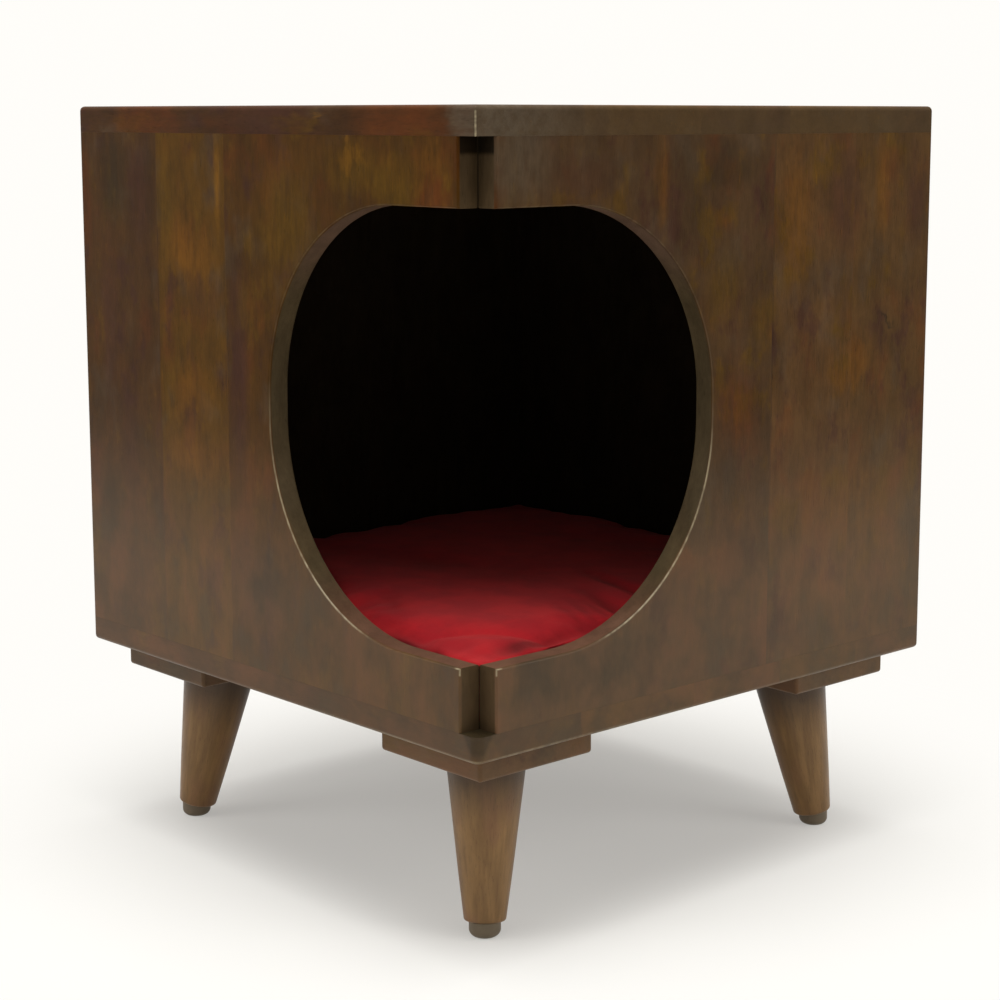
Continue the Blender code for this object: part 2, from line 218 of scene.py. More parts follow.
class Graph:
    """Adds nodes to one shader tree."""

    def __init__(self, tree: bpy.types.NodeTree) -> None:
        """Empties a tree and starts on it."""
        self.tree = tree
        tree.nodes.clear()

    @staticmethod
    def _socket(sockets: Sequence[bpy.types.NodeSocket], key: str | int) -> bpy.types.NodeSocket:
        """Finds a socket by its number, identifier or name.

        Args:
            sockets: the inputs or outputs of a node.
            key: the socket's number, identifier or name.

        Returns:
            The socket.
        """
        if isinstance(key, int):
            return sockets[key]
        for attribute in ("identifier", "name"):
            for socket in sockets:
                if getattr(socket, attribute) == key:
                    return socket
        raise KeyError(key)

    def node(
        self,
        kind: str,
        settings: Mapping[str, object] | None = None,
        sockets: Mapping[str | int, object] | None = None,
    ) -> bpy.types.Node:
        """Adds one node.

        Args:
            kind: the node's type, without its ShaderNode prefix.
            settings: its properties, set first. "stops" are a ramp's places and colours.
            sockets: a value for each input, or the Value or socket to link to it.

        Returns:
            The new node.
        """
        made = self.tree.nodes.new("ShaderNode" + kind)
        for key, setting in (settings or {}).items():
            if key == "stops":
                elements = made.color_ramp.elements
                while len(elements) < len(setting):
                    elements.new(1.0)
                for element, (place, colour) in zip(elements, setting):
                    element.position = place
                    element.color = colour
            elif key == "steps":
                made.color_ramp.interpolation = setting
            else:
                setattr(made, key, setting)
        for key, value in (sockets or {}).items():
            target = self._socket(made.inputs, key)
            if isinstance(value, Value):
                self.tree.links.new(value.socket, target)
            elif isinstance(value, bpy.types.NodeSocket):
                self.tree.links.new(value, target)
            else:
                target.default_value = value
        return made

    def place(self) -> tuple[Value, Value, Value]:
        """The three coordinates of a point in its piece's own frame.

        Returns:
            X, Y and Z.
        """
        coordinates = self.node("TexCoord").outputs["Object"]
        parts = self.node("SeparateXYZ", sockets={"Vector": coordinates})
        return tuple(Value(self, output) for output in parts.outputs)

    def vector(self, x: Value | float, y: Value | float, z: Value | float) -> bpy.types.NodeSocket:
        """A vector from three numbers."""
        return self.node("CombineXYZ", sockets={"X": x, "Y": y, "Z": z}).outputs[0]

    def noise(self, place: Sequence[Value | float], detail: float = 2.0, roughness: float = 0.5) -> Value:
        """Smooth noise at a place that already has its scale."""
        sockets = {"Vector": self.vector(*place), "Scale": 1.0, "Detail": detail, "Roughness": roughness}
        return Value(self, self.node("TexNoise", sockets=sockets).outputs["Fac"])

    def length(self, vector: bpy.types.NodeSocket) -> Value:
        """The length of a vector."""
        return Value(self, self.node("VectorMath", {"operation": "LENGTH"}, {0: vector}).outputs["Value"])

    def seen(self) -> Value:
        """1 for rays that show the surround: from the camera, off gloss and through glass.

        Returns:
            1 for those rays and 0 for the others.
        """
        path = self.node("LightPath")
        camera, gloss, glass = (
            Value(self, path.outputs[f"Is {ray} Ray"]) for ray in ("Camera", "Glossy", "Transmission")
        )
        return camera.most(gloss).most(glass)

    def mix(self, share: Value | float, first: object, second: object) -> bpy.types.NodeSocket:
        """Mixes two colours.

        Args:
            share: how much of the second shows.
            first: a colour or a colour socket.
            second: a colour or a colour socket.

        Returns:
            The mixed colour.
        """
        sockets = {"Factor_Float": share, "A_Color": first, "B_Color": second}
        node = self.node("Mix", {"data_type": "RGBA"}, sockets)
        return self._socket(node.outputs, "Result_Color")

    def scaled(self, colour: bpy.types.NodeSocket, share: Value) -> bpy.types.NodeSocket:
        """A colour times a number."""
        return self.node("VectorMath", {"operation": "SCALE"}, {0: colour, "Scale": share}).outputs[0]

    def bands(self, value: Value, stops: Sequence[Strip]) -> bpy.types.NodeSocket:
        """A colour for each span of a value from 0 to 1, with a hard line between them."""
        return self.node("ValToRGB", {"steps": "CONSTANT", "stops": stops}, {"Fac": value}).outputs["Color"]

    def bump(self, height: Value, distance: float, strength: float = 1.0) -> bpy.types.NodeSocket:
        """A normal bent by a height."""
        node = self.node("Bump", sockets={"Strength": strength, "Distance": distance, "Height": height})
        return node.outputs["Normal"]

    def surface(self, sockets: Mapping[str, object]) -> None:
        """Adds the Principled shader with its sockets, and the output."""
        self.output(self.node("BsdfPrincipled", sockets=sockets).outputs[0])

    def output(self, shader: bpy.types.NodeSocket) -> None:
        """Sends a shader to the material's surface."""
        self.node("OutputMaterial", sockets={"Surface": shader})


# Finishes


class Finish:
    """A material made of nodes."""

    def paint(self, graph: Graph) -> None:
        """Adds the finish's nodes to a graph."""
        raise NotImplementedError

    def dress(self, name: str) -> bpy.types.Material:
        """Makes the material.

        Args:
            name: the material's name.

        Returns:
            The material.
        """
        material = bpy.data.materials.new(name)
        material.use_nodes = True
        self.paint(Graph(material.node_tree))
        return material


@dataclass(frozen=True)
class Patch:
    """A cloud of another stain tone on a board."""

    across: float
    along: float
    half_width: float
    half_length: float
    tone: Colour
    strength: float


GOLDEN = tint(118, 78, 18)
AMBER = tint(98, 62, 18)
OLIVE = tint(82, 58, 14)
RUST = tint(86, 43, 17)
PLUM = tint(60, 36, 28)
UMBER = tint(42, 33, 20)
ASH = tint(84, 75, 63)
ASHEN = tint(72, 60, 46)
REVEAL = tint(70, 60, 42)
# Painted light: the upward-facing sill lighter than the rest of the reveal.
LIT_SILL = tint(103, 73, 58)
HEAD = tint(84, 66, 53)
NOTCH = tint(67, 54, 37)
END = tint(68, 54, 36)
# Tones of the painted reflection of the pale floor on the lower part of the boards.
FLOOR_REFLECTION_WARM = tint(118, 88, 62)
FLOOR_REFLECTION_GREY = tint(92, 78, 58)
# Painted highlight on rounded edges.
EDGE_HIGHLIGHT = tint(150, 136, 108)
# A darker tone for the walls' inner faces.
INSIDE_DARK = tint(42, 35, 27)
SHADE = tint(18, 14, 8)
# Painted shade on the bottom board.
SHADE_OLIVE = tint(52, 44, 28)


@dataclass(frozen=True)
class StainedWood(Finish):
    """Dark walnut stain under satin lacquer, on a board glued up from strips."""

    node: str
    across: Axis
    along: Axis
    through: Axis
    seed: float
    strips: tuple[Strip, ...]
    patches: tuple[Patch, ...] = ()
    highlight_edges: EdgeHighlight = EdgeHighlight.NONE
    # Where the painted reflection of the floor starts and ends in height, and its strength.
    reflection_from: float = 0.40
    reflection_to: float = 0.22
    floor_reflection: float = 0.36
    coat: float = 0.30
    inner_face: float | None = None
    end_tone: float = 0.0
    reach: float = 0.25
    notch: float = 0.232
    sill: float = 0.2225

    @property
    def doorway(self) -> bool:
        """Whether the doorway is cut in the board."""
        return self.highlight_edges is EdgeHighlight.DOORWAY_RIM

    def highlight_places(self, place: Sequence[Value]) -> Value:
        """Where painted highlights lie along the board's rounded edges.

        Args:
            place: the coordinates of a point.

        Returns:
            1 in the middle of a highlight line and 0 elsewhere.
        """
        x, y, z = place
        if self.doorway:
            outer = abs(place[self.through.value])
            line = outer.ramp(self.reach, self.reach - 0.0004)
            line = line * outer.ramp(self.reach - 0.0013, self.reach - 0.0008)
            side = abs(place[self.across.value])
            low = z.ramp(0.40, 0.32, 0.12, 1.0) * z.ramp(self.sill + 0.001, self.sill + 0.0105)
            low = low * side.ramp(self.notch - 0.003, self.notch - 0.002, 1.0, 0.0)
            tip = side.ramp(self.notch - 0.0070, self.notch - 0.0035)
            tip = tip * z.ramp(self.sill - 0.0060, self.sill - 0.0047)
            return line * low.most(tip * z.ramp(self.sill + 0.0055, self.sill + 0.0025))
        if self.highlight_edges is EdgeHighlight.FRONT_CORNER:
            return (x - y).ramp(2 * self.reach - 0.00145, 2 * self.reach - 0.00128)
        if self.highlight_edges is EdgeHighlight.LOWER_EDGES:
            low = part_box(self.node)[0].z
            line = z.ramp(low + 0.0032, low + 0.0022) * z.ramp(low + 0.0004, low + 0.0012)
            outer = abs(x).most(abs(y)).ramp(self.reach - 0.005, self.reach - 0.003)
            return line * outer * (x - y).ramp(2 * self.reach - 0.30, 2 * self.reach, 0.12, 0.40)
        return z * 0.0

    def doorway_tone(self, graph: Graph, across: Value, height: Value) -> bpy.types.NodeSocket:
        """The stain on the doorway's inner edge and in the notches over and under it, with painted light on the
        sill and a painted shadow at the top of the notches.

        Args:
            graph: the material's graph.
            across: the coordinate along the wall.
            height: the height.

        Returns:
            Its colour.
        """
        # Painted light: the reveal turns lighter toward the sill, which faces up to the lamps.
        tone = graph.mix(height.ramp(self.sill + 0.0475, self.sill + 0.0025), REVEAL, LIT_SILL)
        tone = graph.mix(height.ramp(0.46, 0.52), tone, HEAD)
        notch = abs(across).ramp(self.notch - 0.0012, self.notch - 0.0004)
        # Painted shadow of the top board across the top of the notches.
        return graph.mix(notch, tone, graph.mix(height.ramp(0.5750, 0.5790), NOTCH, SHADE))

    def shadowed(self, place: Sequence[Value]) -> Value:
        """Where painted shade darkens the bottom board: its upper face, and the crease down its front corner.

        Args:
            place: the coordinates of a point.

        Returns:
            How much of the painted shade shows.
        """
        x, y, height = place
        low, high = (corner.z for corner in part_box(self.node))
        crease = (2 * self.reach - (x - y) - (height - low) * 0.55).ramp(0.0060, 0.0010)
        crease = crease * height.ramp(low + 0.001, low + 0.010)
        return height.above(high + 0.0002).most(crease * 0.70)

    def patched(
        self, graph: Graph, colour: bpy.types.NodeSocket, flat: bpy.types.NodeSocket, streaks: Value
    ) -> bpy.types.NodeSocket:
        """Lays the clouds of other tones over the stain.

        Args:
            graph: the material's graph.
            colour: the stain so far.
            flat: a point's place on the board, a little bent.
            streaks: the streaks that break the clouds up.

        Returns:
            The new colour.
        """
        for patch in self.patches:
            frame_of_patch = {
                "Vector": flat,
                "Location": (patch.across, patch.along, 0.0),
                "Scale": (patch.half_width, patch.half_length, 1.0),
            }
            spot = graph.node("Mapping", {"vector_type": "TEXTURE"}, frame_of_patch)
            mask = graph.length(spot.outputs[0]).ramp(1.25, 0.2, 0.0, patch.strength)
            colour = graph.mix(mask * streaks.ramp(0.25, 0.60, 0.55, 1.0), colour, patch.tone)
        return colour

    def paint(self, graph: Graph) -> None:
        """Adds the stain, its figure and the lacquer, with light and shade painted into the colour: highlights
        along edges, a reflection of the floor low down, and shade where it falls.

        Args:
            graph: the material's graph.
        """
        place = graph.place()
        across, along, through = (place[axis.value] for axis in (self.across, self.along, self.through))
        height = place[2]
        strip = sum((across.above(edge) for edge, _ in self.strips[1:]), across * 0.0)
        seed = strip * 3.7 + self.seed

        wander = graph.noise((across * 7, along * 2.6, through * 7 + seed), 1.0)
        bent = across + (wander - 0.5) * 0.014
        fine = graph.noise((bent * 560, along * 95, through * 560 + seed), 3.0, 0.65)
        streaks = graph.noise((bent * 190, along * 30, through * 190 + seed + 3.0), 2.0, 0.6)
        bands = graph.noise((bent * 70, along * 13, through * 70 + seed), 3.0, 0.6)
        cloud = graph.noise((across * 30, along * 20, through * 30 + seed + 11.0), 4.0, 0.70)
        hue = graph.noise((across * 24 + 4.0, along * 14, through * 24 + seed), 4.0, 0.70)
        pores = graph.noise((bent * 1300, along * 130, through * 1300 + seed), 1.0).ramp(0.62, 0.76)
        glints = graph.noise((bent * 420, along * 46, through * 420 + seed + 5.0), 2.0).ramp(0.62, 0.82)
        mood = graph.noise((across * 27 + 7.0, along * 17, through * 27 + seed), 3.0, 0.60)

        stops = [((edge + self.reach) * 0.5 / self.reach, tone) for edge, tone in self.strips]
        colour = graph.bands((across + self.reach) * (0.5 / self.reach), stops)
        colour = graph.mix(hue.ramp(0.53, 0.66, 0.0, 0.60), colour, OLIVE)
        colour = graph.mix(hue.ramp(0.47, 0.34, 0.0, 0.70), colour, PLUM)
        colour = graph.mix(mood.ramp(0.52, 0.72, 0.0, 0.40), colour, RUST)
        colour = graph.mix(mood.ramp(0.48, 0.30, 0.0, 0.40), colour, ASHEN)
        contrast = 1.0
        if self.end_tone:
            end = abs(along).ramp(self.reach - 0.0030, self.reach - 0.0006, 0.0, self.end_tone)
            colour = graph.mix(end, colour, END)
            contrast = 1.0 - end * 0.5
        flat = graph.vector(across + (wander - 0.5) * 0.016, along + (hue - 0.5) * 0.10, 0.0)
        colour = self.patched(graph, colour, flat, streaks)
        colour = graph.mix(glints * hue.ramp(0.48, 0.64, 0.04, 0.40), colour, GOLDEN)
        if self.doorway:
            reveal = abs(through).ramp(self.reach - 0.0014, self.reach - 0.0022)
            reveal = reveal * abs(across).ramp(self.reach - 0.003, self.reach - 0.006)
            colour = graph.mix(reveal * 0.95, colour, self.doorway_tone(graph, across, height))
        light = (fine - 0.5) * 0.45 + (streaks - 0.5) * 0.35 + (bands - 0.5) * 0.55 + (cloud - 0.5) * 1.1
        light = 1.0 + (light - pores * 0.25) * contrast
        colour = graph.scaled(colour, light)

        # Painted reflection of the pale floor: the faces turn lighter and greyer toward their lower part.
        low = height.ramp(self.reflection_from, self.reflection_to)
        if self.doorway:
            low = low * (1.0 - reveal * 0.75)
        floor_reflection = graph.mix(mood.ramp(0.30, 0.66), FLOOR_REFLECTION_GREY, FLOOR_REFLECTION_WARM)
        colour = graph.mix(low * self.floor_reflection * (0.50 + mood * 1.0), colour, floor_reflection)
        scuff_and_highlight = self.highlight_places(place)
        # Painted highlight: pale lines on the rounded edges where light catches them, with more coat there too.
        colour = graph.mix(scuff_and_highlight * streaks.ramp(0.34, 0.62, 0.35, 1.0), colour, EDGE_HIGHLIGHT)
        coat = (low * self.coat).most(scuff_and_highlight * 0.5)
        # Painted shade on the bottom board's upper face and down the crease of its front corner.
        if self.highlight_edges is EdgeHighlight.LOWER_EDGES:
            dark = graph.scaled(graph.mix(hue, SHADE_OLIVE, UMBER), light)
            colour = graph.mix(self.shadowed(place), colour, dark)
        # The walls' inner faces are made darker.
        if self.inner_face is not None:
            inside = abs(through).ramp(self.inner_face + 0.0010, self.inner_face + 0.0001)
            colour = graph.mix(inside, colour, graph.scaled(graph.mix(hue, INSIDE_DARK, UMBER), light))
            coat = coat * (1.0 - inside)
        graph.surface(
            {
                "Base Color": colour,
                "Roughness": 0.44 + (cloud - 0.5) * 0.20 + pores * 0.15,
                "Specular IOR Level": 0.05,
                "Specular Tint": (1.0, 0.62, 0.34, 1.0),
                "Coat Weight": coat,
                "Coat Roughness": 0.30,
                "Normal": graph.bump(fine * 0.35 - pores * 0.65, 0.00025, 0.5),
            }
        )


@dataclass(frozen=True)
class LegWood(Finish):
    """Golden brown lacquer on a turned leg, whose own Z runs up its axis."""

    seed: float
    ground: Colour = tint(134, 101, 60)
    dark: Colour = tint(98, 70, 38)
    red: Colour = tint(114, 80, 54)
    shade: Colour = tint(62, 46, 30)

    def paint(self, graph: Graph) -> None:
        """Adds the grain, its red clouds and the painted shade at its top, under the block.

        Args:
            graph: the material's graph.
        """
        x, y, z = graph.place()
        wander = graph.noise((x * 20, y * 20, z * 6 + self.seed), 1.0)
        bent = x + (wander - 0.5) * 0.010
        fine = graph.noise((bent * 640, y * 640, z * 16 + self.seed), 3.0, 0.6)
        bands = graph.noise((bent * 150, y * 150, z * 7 + self.seed), 2.0, 0.55)
        cloud = graph.noise((x * 34, y * 34, z * 18 + self.seed), 2.0, 0.6)
        pores = graph.noise((bent * 1400, y * 1400, z * 70 + self.seed), 1.0).ramp(0.60, 0.72)
        colour = graph.mix(bands.ramp(0.64, 0.34, 0.0, 0.55), self.ground, self.dark)
        colour = graph.mix(cloud.ramp(0.48, 0.66, 0.0, 0.60), colour, self.red)
        # Painted shade under the block, darkest at the leg's top.
        colour = graph.mix(z.ramp(-0.062, -0.006, 0.0, 0.95), colour, self.shade)
        light = 1.0 + (fine - 0.5) * 0.36 + (cloud - 0.5) * 0.5 - pores * 0.20
        graph.surface(
            {
                "Base Color": graph.scaled(colour, light),
                "Roughness": 0.40 + (cloud - 0.5) * 0.15 + pores * 0.15,
                "Specular IOR Level": 0.25,
                "Coat Weight": 0.08,
                "Coat Roughness": 0.28,
                "Normal": graph.bump(fine * 0.35 - pores * 0.65, 0.00025, 0.5),
            }
        )


@dataclass(frozen=True)
class MouldedNylon(Finish):
    """Dark brown nylon with a fine moulded grain, scuffed near the floor."""

    ground: Colour = tint(102, 88, 68)
    scuff: Colour = tint(122, 112, 94)

    def paint(self, graph: Graph) -> None:
        """Adds the moulded grain, the blotches and the scuffed lower edge.

        Args:
            graph: the material's graph.
        """
        x, y, z = graph.place()
        grain = graph.noise((x * 2600, y * 2600, z * 2600))
        blotch = graph.noise((x * 190, y * 190, z * 260), 3.0, 0.6)
        scuff_and_highlight = z.ramp(0.0045, 0.0002) * blotch.ramp(0.42, 0.62, 0.1, 0.8)
        colour = graph.mix(scuff_and_highlight, self.ground, self.scuff)
        graph.surface(
            {
                "Base Color": graph.scaled(colour, 1.0 + (blotch - 0.5) * 0.35),
                "Roughness": 0.56 + scuff_and_highlight * 0.2,
                "Normal": graph.bump(grain, 0.00008, 0.6),
            }
        )


FOLD_SHADE = "fold_shade"


@dataclass(frozen=True)
class RedWeave(Finish):
    """Fine plain-woven red cotton, darker down in its folds."""

    ground: Colour = tint(180, 24, 32)
    shade: Colour = tint(142, 14, 27)
    threads: float = 1450.0

    def paint(self, graph: Graph) -> None:
        """Adds the weave, its thick threads and the shade in the folds.

        Args:
            graph: the material's graph.
        """
        x, y, z = graph.place()
        turn = self.threads * 2 * math.pi
        waver = graph.noise((x * 60, y * 60, z * 60))
        warp = ((x + z * 0.6) * turn + waver * 3.0).sine()
        weft = ((y + z * 0.6) * turn + waver * 3.0).sine()
        weave = warp * weft * 0.5 + 0.5
        slub = graph.noise((x * 900, y * 70, z * 300))
        cross_slub = graph.noise((x * 70, y * 900, z * 300))
        cloud = graph.noise((x * 30, y * 30, z * 30), 3.0, 0.6)
        fold = graph.noise((x * 14, y * 14, z * 14))
        colour = graph.mix(cloud.ramp(0.36, 0.66, 0.55, 0.0), self.ground, self.shade)
        crease = Value(graph, graph.node("Attribute", {"attribute_name": FOLD_SHADE}).outputs["Fac"])
        light = 0.94 + weave * 0.10 + (slub + cross_slub - 1.0) * 0.22 + (fold - 0.5) * 0.2
        light = light * (1.0 - crease * 0.72)
        graph.surface(
            {
                "Base Color": graph.scaled(colour, light),
                "Roughness": 0.88,
                "Specular IOR Level": 0.2,
                "Sheen Weight": 0.18,
                "Sheen Roughness": 0.5,
                "Sheen Tint": tint(255, 150, 140),
                "Normal": graph.bump(weave * 0.6 + (slub + cross_slub) * 0.5, 0.00025, 0.6),
            }
        )


@dataclass(frozen=True)
class ZincPlate(Finish):
    """Zinc-plated steel, slightly yellow and mottled."""

    ground: Colour = tint(196, 194, 186)
    stain: Colour = tint(168, 160, 138)

    def paint(self, graph: Graph) -> None:
        """Adds the mottled plating and the turning marks.

        Args:
            graph: the material's graph.
        """
        x, y, z = graph.place()
        mottle = graph.noise((x * 700, y * 700, z * 700), 3.0, 0.6)
        turning = graph.noise((x * 500, y * 500, z * 4200), 1.0)
        graph.surface(
            {
                "Base Color": graph.mix(mottle.ramp(0.40, 0.66), self.ground, self.stain),
                "Metallic": 1.0,
                "Roughness": 0.28 + mottle * 0.2,
                "Normal": graph.bump(turning, 0.00006, 0.6),
            }
        )


@dataclass(frozen=True)
class BareBeech(Finish):
    """Bare beech with its short darker flecks."""

    ground: Colour = tint(196, 160, 120)
    fleck: Colour = tint(150, 104, 66)

    def paint(self, graph: Graph) -> None:
        """Adds the flecks.

        Args:
            graph: the material's graph.
        """
        x, y, z = graph.place()
        flecks = graph.noise((x * 900, y * 900, z * 260), 1.0).ramp(0.58, 0.70, 0.0, 0.8)
        tone = graph.noise((x * 200, y * 200, z * 60))
        colour = graph.scaled(graph.mix(flecks, self.ground, self.fleck), 0.85 + tone * 0.3)
        graph.surface({"Base Color": colour, "Roughness": 0.68, "Normal": graph.bump(tone, 0.0001, 0.5)})


@dataclass(frozen=True)
class FloorPaint(Finish):
    """Pale floor paint that keeps the table's shadow and goes over into the surround."""

    glow: Colour

    def paint(self, graph: Graph) -> None:
        """Adds the paint and, to the camera and in reflections, the glow that grows away from the table.

        Args:
            graph: the material's graph.
        """
        x, y, _ = graph.place()
        mottle = graph.noise((x * 3, y * 3, 0.0))
        sockets = {
            "Base Color": graph.mix(mottle, tint(238, 236, 231), tint(234, 232, 227)),
            "Roughness": 0.9,
            "Specular IOR Level": 0.1,
        }
        paint = graph.node("BsdfPrincipled", sockets=sockets)
        glow = graph.node("Emission", sockets={"Color": self.glow, "Strength": 1.0})
        share = graph.seen() * graph.length(graph.vector(x, y, 0.0)).ramp(0.20, 0.62, 0.32, 1.0)
        mixed = graph.node("MixShader", sockets={0: share, 1: paint.outputs[0], 2: glow.outputs[0]})
        graph.output(mixed.outputs[0])


# Mesh work

TABLE = "table"
UP = Vector((0, 0, 1))
SHARP = math.radians(35)
TURNED_SHARP = math.radians(40)
LARGE_FACE_WEIGHT = 80
BEVEL_SEGMENTS = 5
SAME_LENGTH = 0.00003
SLACK = 0.0001


def joined(shapes: Sequence[bmesh.types.BMesh]) -> bmesh.types.BMesh:
    """Gathers several shapes in the first of them.

    Args:
        shapes: the shapes; all but the first are freed.

    Returns:
        The first shape, with the others in it.
    """
    first = shapes[0]
    for shape in shapes[1:]:
        mesh = bpy.data.meshes.new("gathered")
        shape.to_mesh(mesh)
        shape.free()
        first.from_mesh(mesh)
        bpy.data.meshes.remove(mesh)
    return first


def linked(name: str, data: bpy.types.ID) -> bpy.types.Object:
    """A new object in the scene.

    Args:
        name: its name.
        data: its mesh, lamp or camera.

    Returns:
        The object.
    """
    obj = bpy.data.objects.new(name, data)
    bpy.context.scene.collection.objects.link(obj)
    return obj


def new_object(name: str, shape: bmesh.types.BMesh) -> bpy.types.Object:
    """Makes an object of a shape, in the table's frame.

    Args:
        name: the object's name.
        shape: its mesh, which is freed.

    Returns:
        The object.
    """
    bmesh.ops.recalc_face_normals(shape, faces=shape.faces)
    mesh = bpy.data.meshes.new(name)
    shape.to_mesh(mesh)
    shape.free()
    return linked(name, mesh)


def prism(outline: Sequence[Point], across: Axis, up: Axis, low: float, high: float) -> bmesh.types.BMesh:
    """A flat outline made thick.

    Args:
        outline: its points in order, as (across, up) pairs.
        across: the axis of a point's first number.
        up: the axis of its second number.
        low: where the thickness starts on the third axis.
        high: where it ends.

    Returns:
        The closed shape.
    """
    third = 3 - across.value - up.value
    shape = bmesh.new()
    rings = []
    for level in (low, high):
        ring = []
        for first, second in outline:
            place = [0.0, 0.0, 0.0]
            place[across.value], place[up.value], place[third] = first, second, level
            ring.append(shape.verts.new(place))
        rings.append(ring)
        shape.faces.new(ring)
    count = len(outline)
    for index in range(count):
        after = (index + 1) % count
        shape.faces.new((rings[0][index], rings[0][after], rings[1][after], rings[1][index]))
    return shape


def lathed(rings: Sequence[Sequence[Vector]]) -> bmesh.types.BMesh:
    """A closed shape over rings of points, its first and last ring filled.

    Args:
        rings: rings with the same number of points each.

    Returns:
        The shape.
    """
    shape = bmesh.new()
    rows = [[shape.verts.new(point) for point in ring] for ring in rings]
    count = len(rows[0])
    for first, second in zip(rows, rows[1:]):
        for index in range(count):
            after = (index + 1) % count
            shape.faces.new((first[index], first[after], second[after], second[index]))
    shape.faces.new(rows[0])
    shape.faces.new(rows[-1])
    return shape


def turns_over(angle: float, steps: int) -> list[Point]:
    """The cosine and sine of evenly spaced turns from nothing up to an angle, both ends included."""
    turns = (angle * step / steps for step in range(steps + 1))
    return [(math.cos(turn), math.sin(turn)) for turn in turns]


def circle(steps: int) -> list[Point]:
    """The cosine and sine of evenly spaced turns round a circle."""
    return turns_over(2 * math.pi, steps)[:-1]


def quarter(steps: int) -> list[Point]:
    """The cosine and sine of evenly spaced turns over a quarter of a circle, both ends included."""
    return turns_over(math.pi / 2, steps)


def frame_along(direction: Vector) -> tuple[Vector, Vector]:
    """Two unit vectors square to a direction and to each other."""
    turn = UP.rotation_difference(direction)
    return turn @ Vector((1, 0, 0)), turn @ Vector((0, 1, 0))


def spindle(
    start: Vector, direction: Vector, profile: Sequence[tuple[float, float]], steps: int = 32
) -> bmesh.types.BMesh:
    """A round shape along a line.

    Args:
        start: where distances along the line start.
        direction: the line's unit direction.
        profile: its (radius, distance) pairs in order, each radius above nothing.
        steps: how many points each ring has.

    Returns:
        The closed shape.
    """
    side, other = frame_along(direction)
    rings = [
        [start + direction * distance + (side * c + other * s) * radius for c, s in circle(steps)]
        for radius, distance in profile
    ]
    return lathed(rings)


def places_of(mesh: bpy.types.Mesh) -> np.ndarray:
    """The place of each of a mesh's vertices, one row each."""
    return np.array([vertex.co for vertex in mesh.vertices], float)


def put_at(mesh: bpy.types.Mesh, places: np.ndarray) -> None:
    """Moves each of a mesh's vertices to its place."""
    for vertex, place in zip(mesh.vertices, places):
        vertex.co = place


def settle(obj: bpy.types.Object) -> None:
    """Replaces an object's mesh by what its modifiers make of it.

    Args:
        obj: the object, which loses its modifiers.
    """
    bpy.context.view_layer.update()
    graph = bpy.context.evaluated_depsgraph_get()
    mesh = bpy.data.meshes.new_from_object(obj.evaluated_get(graph), depsgraph=graph)
    old = obj.data
    obj.modifiers.clear()
    obj.data = mesh
    bpy.data.meshes.remove(old)


EdgeTest = Callable[[Vector, Vector], bool]
EdgeRule = tuple[float, EdgeTest]


def round_edges(obj: bpy.types.Object, rules: Sequence[EdgeRule]) -> None:
    """Rounds edges of an object whose place is in its mesh.

    Args:
        obj: the object.
        rules: a radius and a test of an edge's two ends, the first that fits being used.
    """
    largest = max(radius for radius, _ in rules)
    weights = obj.data.attributes.new("bevel_weight_edge", "FLOAT", "EDGE")
    for edge in obj.data.edges:
        first, second = (obj.data.vertices[index].co for index in edge.vertices)
        for radius, chosen in rules:
            if chosen(first, second):
                weights.data[edge.index].value = radius / largest
                break
    bevel = obj.modifiers.new("Round", "BEVEL")
    bevel.limit_method = "WEIGHT"
    bevel.width = largest
    bevel.segments = BEVEL_SEGMENTS
    bevel.use_clamp_overlap = False
    settle(obj)


def combine(
    obj: bpy.types.Object, shapes: Sequence[bmesh.types.BMesh], change: Change = Change.DRILL
) -> None:
    """Takes shapes that don't meet each other out of an object, or joins them to it.

    Args:
        obj: the object.
        shapes: the shapes, which are freed.
        change: whether they drill it or join it.
    """
    cutter = new_object("cutter", joined(shapes))
    boolean = obj.modifiers.new("Cut", "BOOLEAN")
    boolean.operation = change.value
    boolean.object = cutter
    boolean.solver = "EXACT"
    settle(obj)
    bpy.data.objects.remove(cutter)


def even_shading(obj: bpy.types.Object, sharp_angle: float = SHARP) -> None:
    """Shades an object smooth over its roundings and flat on its large faces.

    Args:
        obj: the object.
        sharp_angle: the angle between two faces from which their edge stays sharp.
    """
    obj.data.shade_smooth()
    obj.data.set_sharp_from_angle(angle=sharp_angle)
    weighted = obj.modifiers.new("Even", "WEIGHTED_NORMAL")
    weighted.keep_sharp = True
    weighted.weight = LARGE_FACE_WEIGHT


def hand_over(
    obj: bpy.types.Object, body: str, material: bpy.types.Material, node: str
) -> None:
    """Dresses a piece and puts it in the place of its CAD node.

    Args:
        obj: the piece.
        body: the CAD body that it rides on.
        material: its material.
        node: the CAD node that it stands for.
    """
    obj.data.materials.clear()
    obj.data.materials.append(material)
    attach(obj, body)
    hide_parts(node)
    LOG.info("%s stands for %s on %s", obj.name, node, body)


def hand_over_stained(obj: bpy.types.Object, finish: StainedWood) -> None:
    """Dresses a board or a block of the table and puts it in the place of its CAD node."""
    hand_over(obj, TABLE, finish.dress(finish.node + "_stain"), finish.node)


def near(value: float, target: float) -> bool:
    """Whether two lengths are the same."""
    return abs(value - target) < SAME_LENGTH


def level_at(height: float) -> EdgeTest:
    """A test for edges that lie at one height."""
    return lambda a, b: near(a.z, height) and near(b.z, height)


def upright_at(x: float, y: float) -> EdgeTest:
    """A test for the upright edge at one place in plan."""
    return lambda a, b: all(near(end.x, x) and near(end.y, y) for end in (a, b))


# Sub-assemblies


